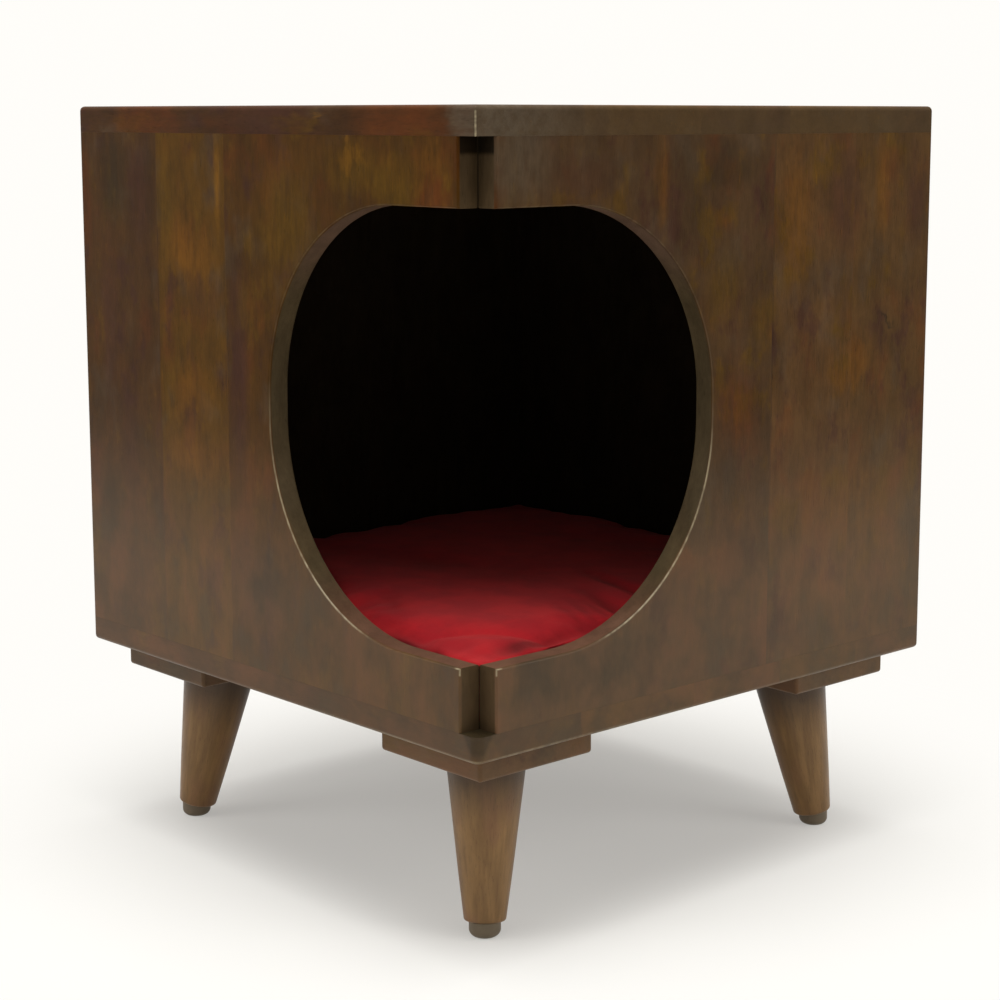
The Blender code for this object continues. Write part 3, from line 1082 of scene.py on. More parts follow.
@dataclass
class Doorway:
    """The doorway's outline in one front wall, measured from the open corner."""

    reach: float = 0.237
    sill: float = 0.2225
    height: float = 0.318
    sill_radius: float = 0.153
    head_radius: float = 0.146
    steps: int = 44

    def outline(self, open_end: float) -> list[Point]:
        """The edge of the doorway from its sill up to its head.

        Args:
            open_end: how far the wall's end is from the open corner.

        Returns:
            Points as (distance from the corner, height).
        """
        head = self.sill + self.height

        def arc(radius: float, level: float, up: int) -> list[Point]:
            """A quarter of a circle from the doorway's foot or head out to its side.

            Args:
                radius: its radius.
                level: the height of the foot or head.
                up: 1 from the foot and -1 from the head.

            Returns:
                Points as (distance from the corner, height).
            """
            return [
                (self.reach - radius * (1 - s), level + up * radius * (1 - c)) for c, s in quarter(self.steps)
            ]

        lower = arc(self.sill_radius, self.sill, 1)
        upper = arc(self.head_radius, head, -1)
        return [(open_end, self.sill), *lower, *reversed(upper), (open_end, head)]


LEFT_STRIPS = ((-0.25, tint(67, 44, 21)), (-0.136, tint(79, 53, 15)), (-0.042, tint(67, 43, 14)))
LEFT_PATCHES = (
    Patch(-0.198, 0.556, 0.026, 0.040, UMBER, 0.75),
    Patch(-0.162, 0.548, 0.020, 0.060, PLUM, 0.60),
    Patch(-0.146, 0.545, 0.009, 0.035, UMBER, 0.55),
    Patch(-0.243, 0.530, 0.012, 0.060, RUST, 0.60),
    Patch(-0.210, 0.430, 0.014, 0.090, PLUM, 0.55),
    Patch(-0.185, 0.330, 0.018, 0.070, PLUM, 0.40),
    Patch(-0.050, 0.556, 0.0045, 0.042, GOLDEN, 0.55),
    Patch(-0.120, 0.525, 0.018, 0.055, OLIVE, 0.70),
    Patch(-0.088, 0.500, 0.040, 0.030, AMBER, 0.75),
    Patch(-0.070, 0.464, 0.034, 0.020, PLUM, 0.40),
    Patch(-0.090, 0.384, 0.034, 0.028, AMBER, 0.65),
    Patch(-0.085, 0.334, 0.046, 0.022, AMBER, 0.60),
    Patch(-0.026, 0.410, 0.016, 0.110, PLUM, 0.85),
    Patch(0.040, 0.515, 0.044, 0.055, OLIVE, 0.80),
    Patch(0.140, 0.565, 0.070, 0.022, OLIVE, 0.70),
    Patch(0.205, 0.570, 0.020, 0.022, AMBER, 0.60),
    Patch(0.120, 0.572, 0.020, 0.007, GOLDEN, 0.40),
    Patch(0.205, 0.552, 0.026, 0.014, RUST, 0.65),
    Patch(-0.022, 0.262, 0.018, 0.024, PLUM, 0.45),
    Patch(0.000, 0.235, 0.040, 0.030, UMBER, 0.75),
    Patch(-0.215, 0.290, 0.022, 0.040, UMBER, 0.60),
)
RIGHT_STRIPS = ((-0.25, tint(67, 48, 29)), (0.053, tint(77, 54, 30)), (0.150, tint(75, 53, 28)))
RIGHT_PATCHES = (
    Patch(-0.215, 0.575, 0.045, 0.034, ASHEN, 0.80),
    Patch(-0.150, 0.560, 0.040, 0.022, PLUM, 0.35),
    Patch(0.003, 0.567, 0.034, 0.020, UMBER, 0.60),
    Patch(-0.072, 0.552, 0.009, 0.050, AMBER, 0.50),
    Patch(-0.040, 0.556, 0.020, 0.035, UMBER, 0.45),
    Patch(0.082, 0.535, 0.024, 0.050, AMBER, 0.55),
    Patch(0.140, 0.540, 0.022, 0.050, PLUM, 0.60),
    Patch(0.183, 0.550, 0.010, 0.055, AMBER, 0.50),
    Patch(0.226, 0.535, 0.018, 0.045, PLUM, 0.60),
    Patch(0.044, 0.446, 0.020, 0.026, OLIVE, 0.65),
    Patch(-0.002, 0.470, 0.024, 0.040, OLIVE, 0.60),
    Patch(0.150, 0.406, 0.032, 0.024, AMBER, 0.60),
    Patch(0.014, 0.385, 0.028, 0.045, RUST, 0.45),
    Patch(0.192, 0.432, 0.012, 0.0035, UMBER, 0.80),
    Patch(0.150, 0.300, 0.060, 0.034, AMBER, 0.40),
    Patch(0.235, 0.310, 0.014, 0.026, OLIVE, 0.60),
    Patch(0.016, 0.262, 0.024, 0.045, UMBER, 0.55),
    Patch(-0.050, 0.245, 0.026, 0.030, UMBER, 0.60),
    Patch(0.070, 0.200, 0.040, 0.022, PLUM, 0.45),
    Patch(-0.150, 0.210, 0.100, 0.028, UMBER, 0.95),
)
TOP_STRIPS = (
    (-0.25, tint(62, 40, 21)),
    (-0.150, tint(76, 50, 18)),
    (-0.030, tint(66, 43, 19)),
    (0.070, tint(78, 52, 17)),
    (0.165, tint(66, 44, 20)),
)
TOP_PATCHES = (
    Patch(-0.250, 0.020, 0.030, 0.070, PLUM, 0.70),
    Patch(-0.250, 0.170, 0.030, 0.060, RUST, 0.60),
    Patch(-0.250, -0.150, 0.030, 0.050, RUST, 0.50),
    Patch(-0.090, 0.050, 0.050, 0.090, AMBER, 0.45),
    Patch(0.020, -0.120, 0.040, 0.100, AMBER, 0.40),
    Patch(0.115, 0.110, 0.040, 0.080, OLIVE, 0.50),
    Patch(-0.195, -0.020, 0.030, 0.120, OLIVE, 0.45),
    Patch(0.205, -0.090, 0.035, 0.110, PLUM, 0.50),
    Patch(-0.250, 0.250, 0.110, 0.030, ASH, 0.60),
)
BACK_STRIPS = (
    (-0.25, tint(68, 45, 21)),
    (-0.105, tint(78, 52, 18)),
    (0.040, tint(65, 43, 20)),
    (0.150, tint(73, 49, 20)),
)


@dataclass
class House:
    """The box: four walls with a doorway round the open corner, a top board and a bottom board."""

    outside: float = 0.250
    wall: float = 0.018
    gap: float = 0.0003
    rounding: float = 0.004
    top_front_rounding: float = 0.002
    bottom_front_rounding: float = 0.008
    rim: float = 0.0018
    hole_end: float = 0.001
    contact: float = 0.00025
    dowel_turning: int = 24
    doorway: Doorway = field(default_factory=Doorway)

    @property
    def inside(self) -> float:
        """From the middle to a wall's inner face."""
        return self.outside - self.wall

    def wall_finish(
        self,
        node: str,
        through: Axis,
        seed: float,
        strips: tuple[Strip, ...],
        patches: tuple[Patch, ...] = (),
        highlight_edges: EdgeHighlight = EdgeHighlight.NONE,
    ) -> StainedWood:
        """The finish of a wall, whose strips stand upright.

        Args:
            node: its CAD node.
            through: the axis of its thickness.
            seed: what sets its figure apart.
            strips: where each strip starts, and its tone.
            patches: the clouds on it.
            highlight_edges: which of its edges carry a painted highlight.

        Returns:
            The finish.
        """
        across = Axis.Y if through is Axis.X else Axis.X
        return StainedWood(
            node, across, Axis.Z, through, seed, strips, patches, highlight_edges, inner_face=self.inside
        )

    def dowel_holes(self, node: str) -> list[bmesh.types.BMesh]:
        """Holes for the dowels that reach into a board.

        Args:
            node: the board's CAD node.

        Returns:
            One closed shape per hole, longer than its dowel.
        """
        low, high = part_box(node)
        holes = []
        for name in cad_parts:
            if "dowel" not in name:
                continue
            start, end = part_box(name)
            if any(end[axis] < low[axis] or start[axis] > high[axis] for axis in range(3)):
                continue
            size = end - start
            axis = max(range(3), key=lambda number: size[number])
            along = Vector((0, 0, 0))
            along[axis] = 1.0
            radius = min(size) / 2 + self.gap
            middle = (start + end) / 2
            half = size[axis] / 2 + self.hole_end
            profile = [(radius, -half), (radius, half)]
            holes.append(spindle(middle, along, profile, self.dowel_turning))
        return holes

    def board(
        self,
        node: str,
        rules: Sequence[EdgeRule],
        outline: Sequence[Point] | None = None,
        through: Axis = Axis.Z,
        more_holes: Sequence[bmesh.types.BMesh] = (),
    ) -> bpy.types.Object:
        """Makes a board where its CAD node is.

        Args:
            node: the CAD node.
            rules: which edges are rounded.
            outline: its outline, if it isn't a plain rectangle.
            through: the axis of its thickness.
            more_holes: holes besides those of its dowels.

        Returns:
            The board.
        """
        low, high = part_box(node)
        if node != "top_board":
            high.z += self.contact
        across, up = [axis for axis in Axis if axis is not through]
        if outline is None:
            a0, a1, b0, b1 = low[across.value], high[across.value], low[up.value], high[up.value]
            outline = [(a0, b0), (a1, b0), (a1, b1), (a0, b1)]
        shape = prism(outline, across, up, low[through.value], high[through.value])
        obj = new_object(node + "_stained", shape)
        if rules:
            round_edges(obj, rules)
        combine(obj, [*self.dowel_holes(node), *more_holes])
        even_shading(obj)
        return obj

    def front_wall(self, node: str, through: Axis, closed: Corner) -> bpy.types.Object:
        """Makes a front wall with its half of the doorway.

        Args:
            node: its CAD node.
            through: the axis of its thickness.
            closed: the closed corner of the house that it covers.

        Returns:
            The wall.
        """
        low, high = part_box(node)
        high.z += self.contact
        along = 1 - through.value
        toward = 1 if along == 0 else -1
        corner = toward * self.outside
        open_end = (high[along] if toward > 0 else low[along]) + toward * self.contact
        shut_end = low[along] if toward > 0 else high[along]
        edge = self.doorway.outline(abs(corner - open_end))
        door = [(corner - toward * away, height) for away, height in edge]
        outline = [(shut_end, low.z), (open_end, low.z), *door, (open_end, high.z), (shut_end, high.z)]
        faces = (low[through.value], high[through.value])
        outer = max(faces, key=abs)
        sill, head = self.doorway.sill, self.doorway.sill + self.doorway.height

        def rim(a: Vector, b: Vector) -> bool:
            """Whether an edge lies along the doorway, on either face of the wall.

            Args:
                a: one end of the edge.
                b: the other end.

            Returns:
                Whether it does.
            """
            same_face = any(near(a[through.value], face) and near(b[through.value], face) for face in faces)
            middle = (a + b) / 2
            beside = sill - SLACK < middle.z < head + SLACK
            return same_face and beside and abs(middle[along]) < self.outside - SLACK

        def notch(a: Vector, b: Vector) -> bool:
            """Whether an edge is the wall's outer upright at the open corner."""
            return all(near(end[along], open_end) and near(end[through.value], outer) for end in (a, b))

        rules = [(self.rim, notch), (self.rim, rim), *self.corners(self.rounding, closed)]
        return self.board(node, rules, outline, through)

    def corners(self, radius: float, *corners: Corner) -> list[EdgeRule]:
        """Rounding rules for upright edges at corners of the house."""
        places = [(corner.sides[0] * self.outside, corner.sides[1] * self.outside) for corner in corners]
        return [(radius, upright_at(*place)) for place in places]

    def build(self, screw_holes: Sequence[bmesh.types.BMesh]) -> None:
        """Makes, dresses and hands over the six boards.

        Args:
            screw_holes: holes in the bottom board for the block screws.
        """
        for node, through, corner, seed, strips, patches in (
            ("front_left_panel", Axis.Y, Corner.LEFT, 2.0, LEFT_STRIPS, LEFT_PATCHES),
            ("front_right_panel", Axis.X, Corner.RIGHT, 9.0, RIGHT_STRIPS, RIGHT_PATCHES),
        ):
            wall = self.front_wall(node, through, corner)
            finish = self.wall_finish(node, through, seed, strips, patches, EdgeHighlight.DOORWAY_RIM)
            hand_over_stained(wall, finish)
        for node, through, corners, seed in (
            ("back_left_panel", Axis.X, [Corner.BACK], 21.0),
            ("back_right_panel", Axis.Y, [], 31.0),
        ):
            wall = self.board(node, self.corners(self.rounding, *corners), through=through)
            hand_over_stained(wall, self.wall_finish(node, through, seed, BACK_STRIPS))

        closed = self.corners(self.rounding, Corner.LEFT, Corner.RIGHT, Corner.BACK)
        node = "top_board"
        edges = (self.rounding, level_at(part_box(node)[1].z))
        board = self.board(node, [edges, *closed, *self.corners(self.top_front_rounding, Corner.FRONT)])
        finish = StainedWood(
            node, Axis.Y, Axis.X, Axis.Z, 41.0, TOP_STRIPS, TOP_PATCHES, EdgeHighlight.FRONT_CORNER,
            floor_reflection=0.0, coat=0.0, end_tone=0.75,
        )
        hand_over_stained(board, finish)
        node = "bottom_board"
        edges = (self.rounding, level_at(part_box(node)[0].z))
        rules = [edges, *closed, *self.corners(self.bottom_front_rounding, Corner.FRONT)]
        board = self.board(node, rules, more_holes=screw_holes)
        finish = StainedWood(
            node, Axis.Y, Axis.X, Axis.Z, 53.0, TOP_STRIPS, highlight_edges=EdgeHighlight.LOWER_EDGES, end_tone=0.3
        )
        hand_over_stained(board, finish)


@dataclass
class Underframe:
    """Four blocks screwed under the house, each with a splayed turned leg and its foot glide."""

    block_centre: float = 0.1725
    block_rounding: float = 0.003
    underside: float = 0.134
    leg_height: float = 0.123
    leg_top_radius: float = 0.031
    leg_top_edge: float = 0.0006
    leg_foot_radius: float = 0.016
    foot_rounding: float = 0.0025
    splay: float = math.radians(10.4)
    glide_height: float = 0.011
    glide_radius: float = 0.012
    glide_edge: float = 0.0005
    glide_rounding: float = 0.0055
    nail_radius: float = 0.0013
    nail_length: float = 0.016
    nail_point: float = 0.002
    bolt_radius: float = 0.0038
    bolt_in_leg: float = 0.030
    bolt_in_block: float = 0.018
    insert_radius: float = 0.006
    insert_top: float = 0.0136
    screw_radius: float = 0.0021
    screw_head_radius: float = 0.0042
    screw_head_edge: float = 0.0003
    screw_point: float = 0.005
    screw_tip: float = 0.0002
    screw_length: float = 0.035
    shank: float = 0.012
    thread_start: float = 0.0125
    thread_pitch: float = 0.0018
    thread_root: float = 0.68
    thread_valley: float = 0.45
    thread_crest: float = 0.8
    recess_reach: float = 0.0022
    recess_width: float = 0.0009
    recess_depth: float = 0.0016
    recess_taper: float = 0.45
    gap: float = 0.0003
    contact: float = 0.00025
    hole_end: float = 0.001
    clear: float = 0.0005
    turning: int = 96
    glide_turning: int = 64
    nail_turning: int = 24

    @property
    def leg_length(self) -> float:
        """The leg's length along its axis."""
        return self.leg_height / math.cos(self.splay)

    @property
    def screw_neck(self) -> float:
        """How deep a screw's countersunk head is."""
        return self.screw_head_radius - self.screw_radius

    def axis(self, corner: Corner) -> tuple[Vector, Vector]:
        """The middle of a leg's top, and the unit direction down its axis.

        Args:
            corner: the corner that the leg stands at.

        Returns:
            The place and the direction.
        """
        side_x, side_y = corner.sides
        outward = math.sin(self.splay) / math.sqrt(2)
        top = Vector((side_x * self.block_centre, side_y * self.block_centre, self.underside))
        return top, Vector((side_x * outward, side_y * outward, -math.cos(self.splay)))

    def screw_places(self, corner: Corner) -> dict[str, Vector]:
        """The middle of each screw's head in a block, by the screw's node.

        Args:
            corner: the block's corner.

        Returns:
            A place for each node.
        """
        places = {}
        for number in (1, 2):
            node = f"block_screw_{corner.label}_{number}"
            low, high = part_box(node)
            places[node] = Vector(((low.x + high.x) / 2, (low.y + high.y) / 2, low.z))
        return places

    def screw_holes(self, corner: Corner) -> list[bmesh.types.BMesh]:
        """The countersunk holes for a block's screws, right up into the bottom board.

        Args:
            corner: the block's corner.

        Returns:
            One closed shape per hole.
        """
        profile = [
            (self.screw_head_radius + self.gap, -0.004),
            (self.screw_head_radius + self.gap, self.gap),
            (self.screw_radius + self.gap, self.screw_neck + self.gap),
            (self.screw_radius + self.gap, self.screw_length + self.hole_end),
        ]
        return [spindle(head, UP, profile) for head in self.screw_places(corner).values()]

    def bolt_hole(self, corner: Corner) -> bmesh.types.BMesh:
        """The stepped hole in a block for the threaded insert and the end of the hanger bolt.

        Args:
            corner: the block's corner.

        Returns:
            The closed shape.
        """
        top, down = self.axis(corner)
        profile = [
            (self.insert_radius + self.gap, -0.006),
            (self.insert_radius + self.gap, self.insert_top + self.gap),
            (self.bolt_radius + self.gap, self.insert_top + self.gap),
            (self.bolt_radius + self.gap, self.bolt_in_block + self.hole_end),
        ]
        return spindle(top, -down, profile)

    def block(self, corner: Corner) -> bpy.types.Object:
        """Makes the square block that a leg screws into.

        Args:
            corner: the block's corner.

        Returns:
            The block.
        """
        node = f"leg_block_{corner.label}"
        low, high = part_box(node)
        high.z += self.contact
        outline = [(low.x, low.y), (high.x, low.y), (high.x, high.y), (low.x, high.y)]
        obj = new_object(node + "_stained", prism(outline, Axis.X, Axis.Y, low.z, high.z))
        rules = [(self.block_rounding, upright_at(x, y)) for x, y in outline]
        round_edges(obj, [*rules, (self.block_rounding, level_at(low.z))])
        combine(obj, [self.bolt_hole(corner), *self.screw_holes(corner)])
        even_shading(obj)
        return obj

    def leg(self, corner: Corner) -> bpy.types.Object:
        """Makes a tapered leg, cut off level at its top, with its bolt hole and its nail hole.

        Args:
            corner: the corner that it stands at.

        Returns:
            The leg, its own Z up its axis and its origin at the middle of its top.
        """
        top, down = self.axis(corner)
        up = -down
        side, other = frame_along(up)
        taper = (self.leg_top_radius - self.leg_foot_radius) / self.leg_length
        turns = circle(self.turning)

        def level_ring(radius: float, slope: float, drop: float) -> list[Vector]:
            """A ring of the leg's surface where it meets a level plane below its top.

            Args:
                radius: the surface's radius at the middle of the leg's top.
                slope: how fast it grows up the axis.
                drop: how far below the top the plane is.

            Returns:
                The ring's points.
            """
            points = []
            for c, s in turns:
                outward = side * c + other * s
                height = (-drop - radius * outward.z) / (slope * outward.z + up.z)
                points.append(outward * (radius + slope * height) + up * height)
            return points

        def ring(radius: float, height: float) -> list[Vector]:
            """A ring square to the axis."""
            return [(side * c + other * s) * radius + up * height for c, s in turns]

        bore, nail = self.bolt_radius + self.gap, self.nail_radius + self.gap
        edge = self.leg_top_edge
        rings = [
            ring(bore, -self.bolt_in_leg - self.hole_end),
            level_ring(bore, 0.0, self.gap - self.contact),
            level_ring(self.leg_top_radius - edge, taper, self.gap - self.contact),
            level_ring(self.leg_top_radius, taper, self.gap + edge),
        ]
        rings += [ring(self.leg_top_radius + taper * height, height) for height in (-0.030, -0.060, -0.090)]
        for c, s in quarter(8):
            radius = self.leg_foot_radius - self.foot_rounding * (1 - c)
            rings.append(ring(radius, -self.leg_length + self.foot_rounding - self.foot_rounding * s))
        nail_end = -self.leg_length + self.nail_length + self.hole_end
        rings += [ring(nail, -self.leg_length), ring(nail, nail_end)]
        obj = new_object(f"leg_{corner.label}_turned", lathed(rings))
        place = Matrix.Translation(top) @ UP.rotation_difference(up).to_matrix().to_4x4()
        obj.data.transform(Matrix.Translation(top))
        obj.data.transform(place.inverted())
        obj.matrix_world = place
        even_shading(obj, TURNED_SHARP)
        return obj

    def glide(self, corner: Corner) -> bpy.types.Object:
        """Makes a foot glide, flat on the floor and cut to the slant of its leg's end, with its nail.

        Args:
            corner: the corner that it stands at.

        Returns:
            The glide.
        """
        top, down = self.axis(corner)
        foot = top + down * self.leg_length
        middle = foot + down * (self.glide_height / 2)
        turns = circle(self.glide_turning)
        plane = foot + down * (self.gap - self.contact)

        def slant_ring(radius: float, drop: float) -> list[Vector]:
            """A ring of an upright tube where it meets the slanted top, or a little below it.

            Args:
                radius: the tube's radius.
                drop: how far below the slanted top.

            Returns:
                The ring's points.
            """
            points = []
            for c, s in turns:
                x, y = middle.x + radius * c, middle.y + radius * s
                z = plane.z - ((x - plane.x) * down.x + (y - plane.y) * down.y) / down.z
                points.append(Vector((x, y, z - drop)))
            return points

        rings = [slant_ring(self.glide_radius * 0.5, 0.0)]
        rings.append(slant_ring(self.glide_radius - self.glide_edge, 0.0))
        rings.append(slant_ring(self.glide_radius, self.glide_edge))
        for c, s in quarter(8):
            radius = self.glide_radius - self.glide_rounding * (1 - c)
            height = self.glide_rounding * (1 - s)
            rings.append([Vector((middle.x + radius * x, middle.y + radius * y, height)) for x, y in turns])
        obj = new_object(f"foot_glide_{corner.label}_moulded", lathed(rings))
        reach = self.nail_length + (foot - middle).length
        profile = [
            (self.nail_radius, 0.0),
            (self.nail_radius, reach - self.nail_point),
            (self.nail_radius * 0.3, reach),
        ]
        combine(obj, [spindle(middle, -down, profile, self.nail_turning)], Change.JOIN)
        even_shading(obj, TURNED_SHARP)
        return obj

    def screw_mesh(self) -> bpy.types.Mesh:
        """Makes a countersunk wood screw with a cross recess, its head's middle at the origin.

        Returns:
            The mesh that all the screws share.
        """
        root = self.screw_radius * self.thread_root
        profile = [
            (self.screw_head_radius - self.screw_head_edge, 0.0),
            (self.screw_head_radius, self.screw_head_edge),
            (self.screw_radius, self.screw_neck),
            (self.screw_radius, self.shank),
        ]
        pitch, height = self.thread_pitch, self.thread_start
        while height + pitch < self.screw_length - self.screw_point:
            profile += [(root, height), (root, height + pitch * self.thread_valley)]
            profile.append((self.screw_radius, height + pitch * self.thread_crest))
            height += pitch
        profile += [(root, height), (self.screw_tip, self.screw_length)]
        obj = new_object("block_screw_pattern", spindle(Vector((0, 0, 0)), UP, profile))
        for turn in (math.pi / 4, -math.pi / 4):
            arm = bmesh.new()
            bmesh.ops.create_cube(arm, size=1.0)
            for vert in arm.verts:
                inner = vert.co.z > 0
                length = 2 * self.recess_reach * (self.recess_taper if inner else 1.0)
                depth = self.recess_depth if inner else -self.clear
                vert.co = Vector((vert.co.x * length, vert.co.y * self.recess_width, depth))
            bmesh.ops.rotate(arm, verts=arm.verts, matrix=Matrix.Rotation(turn, 3, "Z"))
            combine(obj, [arm])
        even_shading(obj)
        settle(obj)
        mesh = obj.data
        bpy.data.objects.remove(obj)
        return mesh

    def build(self) -> list[bmesh.types.BMesh]:
        """Makes, dresses and hands over the underframe.

        Returns:
            The screw holes that the bottom board needs.
        """
        holes = []
        screw = self.screw_mesh()
        steel = ZincPlate().dress("screw_zinc")
        nylon = MouldedNylon().dress("glide_nylon")
        tones = (tint(72, 53, 33), tint(86, 63, 40), tint(88, 66, 42), tint(66, 46, 26))
        for number, (corner, tone) in enumerate(zip(Corner, tones)):
            node = f"leg_block_{corner.label}"
            strips = ((-0.25, tone), (0.0, tone))
            finish = StainedWood(
                node, Axis.Y, Axis.X, Axis.Z, 61.0 + 5 * number, strips, floor_reflection=0.26, coat=0.25
            )
            hand_over_stained(self.block(corner), finish)
            node = f"leg_{corner.label}"
            lacquer = LegWood(71.0 + 4 * number).dress(node + "_lacquer")
            hand_over(self.leg(corner), TABLE, lacquer, node)
            hand_over(self.glide(corner), TABLE, nylon, f"foot_glide_{corner.label}")
            for node, place in self.screw_places(corner).items():
                piece = linked(node + "_driven", screw)
                piece.location = place
                hand_over(piece, TABLE, steel, node)
            holes += self.screw_holes(corner)
        return holes


SEAM = "seam"


@dataclass(frozen=True)
class Fold:
    """A soft crease in the cushion's top, between two places in plan.

    A ridge has a depth and a shade below nothing.
    """

    start: Point
    end: Point
    width: float
    depth: float
    shade: float

    def share(self, places: np.ndarray) -> np.ndarray:
        """How much of the fold each place has.

        Args:
            places: the X and Y of each place, one row each.

        Returns:
            1 in the middle of the fold and 0 far from it, for each place.
        """
        start, end = np.array(self.start), np.array(self.end)
        line = end - start
        along = np.clip(((places - start) @ line) / (line @ line), 0.0, 1.0)
        away = np.linalg.norm(places - start - along[:, None] * line, axis=1)
        fade = np.clip(1.0 - np.abs(2 * along - 1.0), 0.15, 1.0) ** 0.5
        return fade * np.exp(-((away / self.width) ** 2))


@dataclass
class Cushion:
    """The loose cushion on the floor of the house, its top and bottom sewn to a narrow side strip."""

    cells: int = 84
    layers: int = 10
    edge_height: float = 0.043
    crown: float = 0.015
    draw_in: float = 0.007
    seam_inset: float = 0.008
    corner_inset: float = 0.002
    start_share: float = 0.985
    frames: int = 16
    quality: int = 4
    mass: float = 0.25
    pressure: float = 4.0
    slack: float = -0.035
    bending: float = 0.05
    cap: float = 0.012
    shoulder: float = 0.014
    folds: tuple[Fold, ...] = (
        Fold((0.212, -0.201), (0.206, -0.150), 0.007, 0.0015, 0.85),
        Fold((0.208, -0.175), (0.204, -0.105), 0.006, 0.0010, 0.60),
        Fold((0.219, -0.100), (0.224, -0.020), 0.008, 0.0050, 0.50),
        Fold((0.100, -0.213), (0.170, -0.216), 0.005, 0.0020, 0.85),
        Fold((0.100, -0.199), (0.180, -0.205), 0.006, -0.0010, -0.14),
        Fold((0.158, -0.088), (0.212, -0.103), 0.0035, 0.0025, 0.45),
        Fold((0.152, -0.068), (0.212, -0.094), 0.0035, 0.0025, 0.50),
        Fold((0.152, -0.058), (0.210, -0.077), 0.0040, 0.0030, 0.55),
        Fold((0.140, -0.040), (0.210, -0.060), 0.0070, 0.0040, 0.70),
        Fold((0.100, 0.005), (0.200, -0.012), 0.0055, 0.0050, 0.45),
        Fold((-0.050, -0.150), (0.020, -0.196), 0.006, 0.0060, 0.45),
        Fold((0.040, -0.160), (0.100, -0.196), 0.007, 0.0022, 0.15),
        Fold((-0.120, -0.080), (0.060, -0.030), 0.030, 0.0040, 0.10),
        Fold((-0.060, 0.100), (0.100, 0.150), 0.028, 0.0030, 0.10),
    )

    def form(self, across: float, deep: float, height: float, half: float, floor: float) -> Vector:
        """A point of the cushion.

        Args:
            across: its place along X, from -1 to 1.
            deep: its place along Y, from -1 to 1.
            height: its share of the thickness there.
            half: half the cushion's width.
            floor: the height that the cushion lies at.

        Returns:
            The point.
        """
        crown = self.crown * (1 - across ** 2) * (1 - deep ** 2)
        near_corner = (across * deep) ** 4
        inset = self.seam_inset + (self.corner_inset - self.seam_inset) * near_corner
        shrink = inset * (2 * height - 1) ** 2
        return Vector(
            (
                across * (half - shrink - self.draw_in * (1 - deep ** 2)),
                deep * (half - shrink - self.draw_in * (1 - across ** 2)),
                floor + height * (self.edge_height + crown),
            )
        )

    def start_shape(self) -> bpy.types.Object:
        """Makes the cover before it is stuffed: the CAD cushion's form, a little smaller, on a fine net.

        Returns:
            The cover, with its seams in a vertex group.
        """
        low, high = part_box("cushion")
        half = (high.x - low.x) / 2
        shape = bmesh.new()
        counts = (self.cells, self.cells, self.layers)
        corners: dict[tuple[int, ...], bmesh.types.BMVert] = {}
        seam = []
        for axis in range(3):
            first, second = (other for other in range(3) if other != axis)
            for end in (0, counts[axis]):
                for i, j in np.ndindex(counts[first], counts[second]):
                    face = []
                    for step_i, step_j in ((0, 0), (1, 0), (1, 1), (0, 1)):
                        key = [0, 0, 0]
                        key[axis], key[first], key[second] = end, i + step_i, j + step_j
                        place = tuple(key)
                        if place not in corners:
                            across, deep, up = (2 * number / count - 1 for number, count in zip(key, counts))
                            at_seam = max(abs(across), abs(deep)) == 1 and abs(up) == 1
                            share = 1.0 if at_seam else self.start_share
                            if at_seam:
                                seam.append(len(corners))
                            point = self.form(across, deep, (up + 1) / 2, half, low.z)
                            corners[place] = shape.verts.new((point.x * share, point.y * share, point.z))
                        face.append(corners[place])
                    shape.faces.new(face)
        obj = new_object("cushion_stuffed", shape)
        obj.vertex_groups.new(name=SEAM).add(seam, 1.0, "REPLACE")
        return obj

    def stuff(self, obj: bpy.types.Object) -> None:
        """Blows the cover up as cloth, held at its seams, and keeps it in the cushion's own space.

        Args:
            obj: the cover.
        """
        start = places_of(obj.data)
        cloth = obj.modifiers.new("Cloth", "CLOTH")
        settings = cloth.settings
        settings.quality = self.quality
        settings.mass = self.mass
        settings.use_pressure = True
        settings.uniform_pressure_force = self.pressure
        settings.shrink_min = self.slack
        settings.vertex_group_mass = SEAM
        settings.pin_stiffness = 1.0
        settings.bending_stiffness = self.bending
        settings.effector_weights.gravity = 0.0
        cloth.collision_settings.use_collision = False
        cloth.point_cache.frame_start = 1
        cloth.point_cache.frame_end = self.frames
        for number in range(1, self.frames + 1):
            bpy.context.scene.frame_set(number)
        graph = bpy.context.evaluated_depsgraph_get()
        moved = places_of(obj.evaluated_get(graph).to_mesh()) - start
        obj.modifiers.clear()
        bpy.context.scene.frame_set(1)
        length = np.linalg.norm(moved, axis=1, keepdims=True)
        moved *= np.minimum(1.0, self.cap / np.maximum(length, 1e-9))
        LOG.info("cushion moved %.1f mm at most before the cap", 1000 * float(length.max()))
        put_at(obj.data, start + moved)

    def crease(self, obj: bpy.types.Object) -> None:
        """Rounds the top off, adds the folds, and keeps the cushion in the space of its CAD solid.

        Args:
            obj: the stuffed cushion.
        """
        places = places_of(obj.data)
        low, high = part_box("cushion")
        upper = np.clip((places[:, 2] - low.z) / self.edge_height, 0.0, 1.0) ** 2
        over = np.maximum(places[:, 2] - (high.z - self.shoulder), 0.0)
        places[:, 2] += self.shoulder * np.tanh(over / self.shoulder) - over
        shares = [upper * fold.share(places[:, :2]) for fold in self.folds]
        places[:, 2] -= sum(fold.depth * share for fold, share in zip(self.folds, shares))
        shade = np.clip(sum(fold.shade * share for fold, share in zip(self.folds, shares)), -1.0, 1.0)
        obj.data.attributes.new(FOLD_SHADE, "FLOAT", "POINT").data.foreach_set("value", shade)
        put_at(obj.data, np.clip(places, np.array(low), np.array(high)))

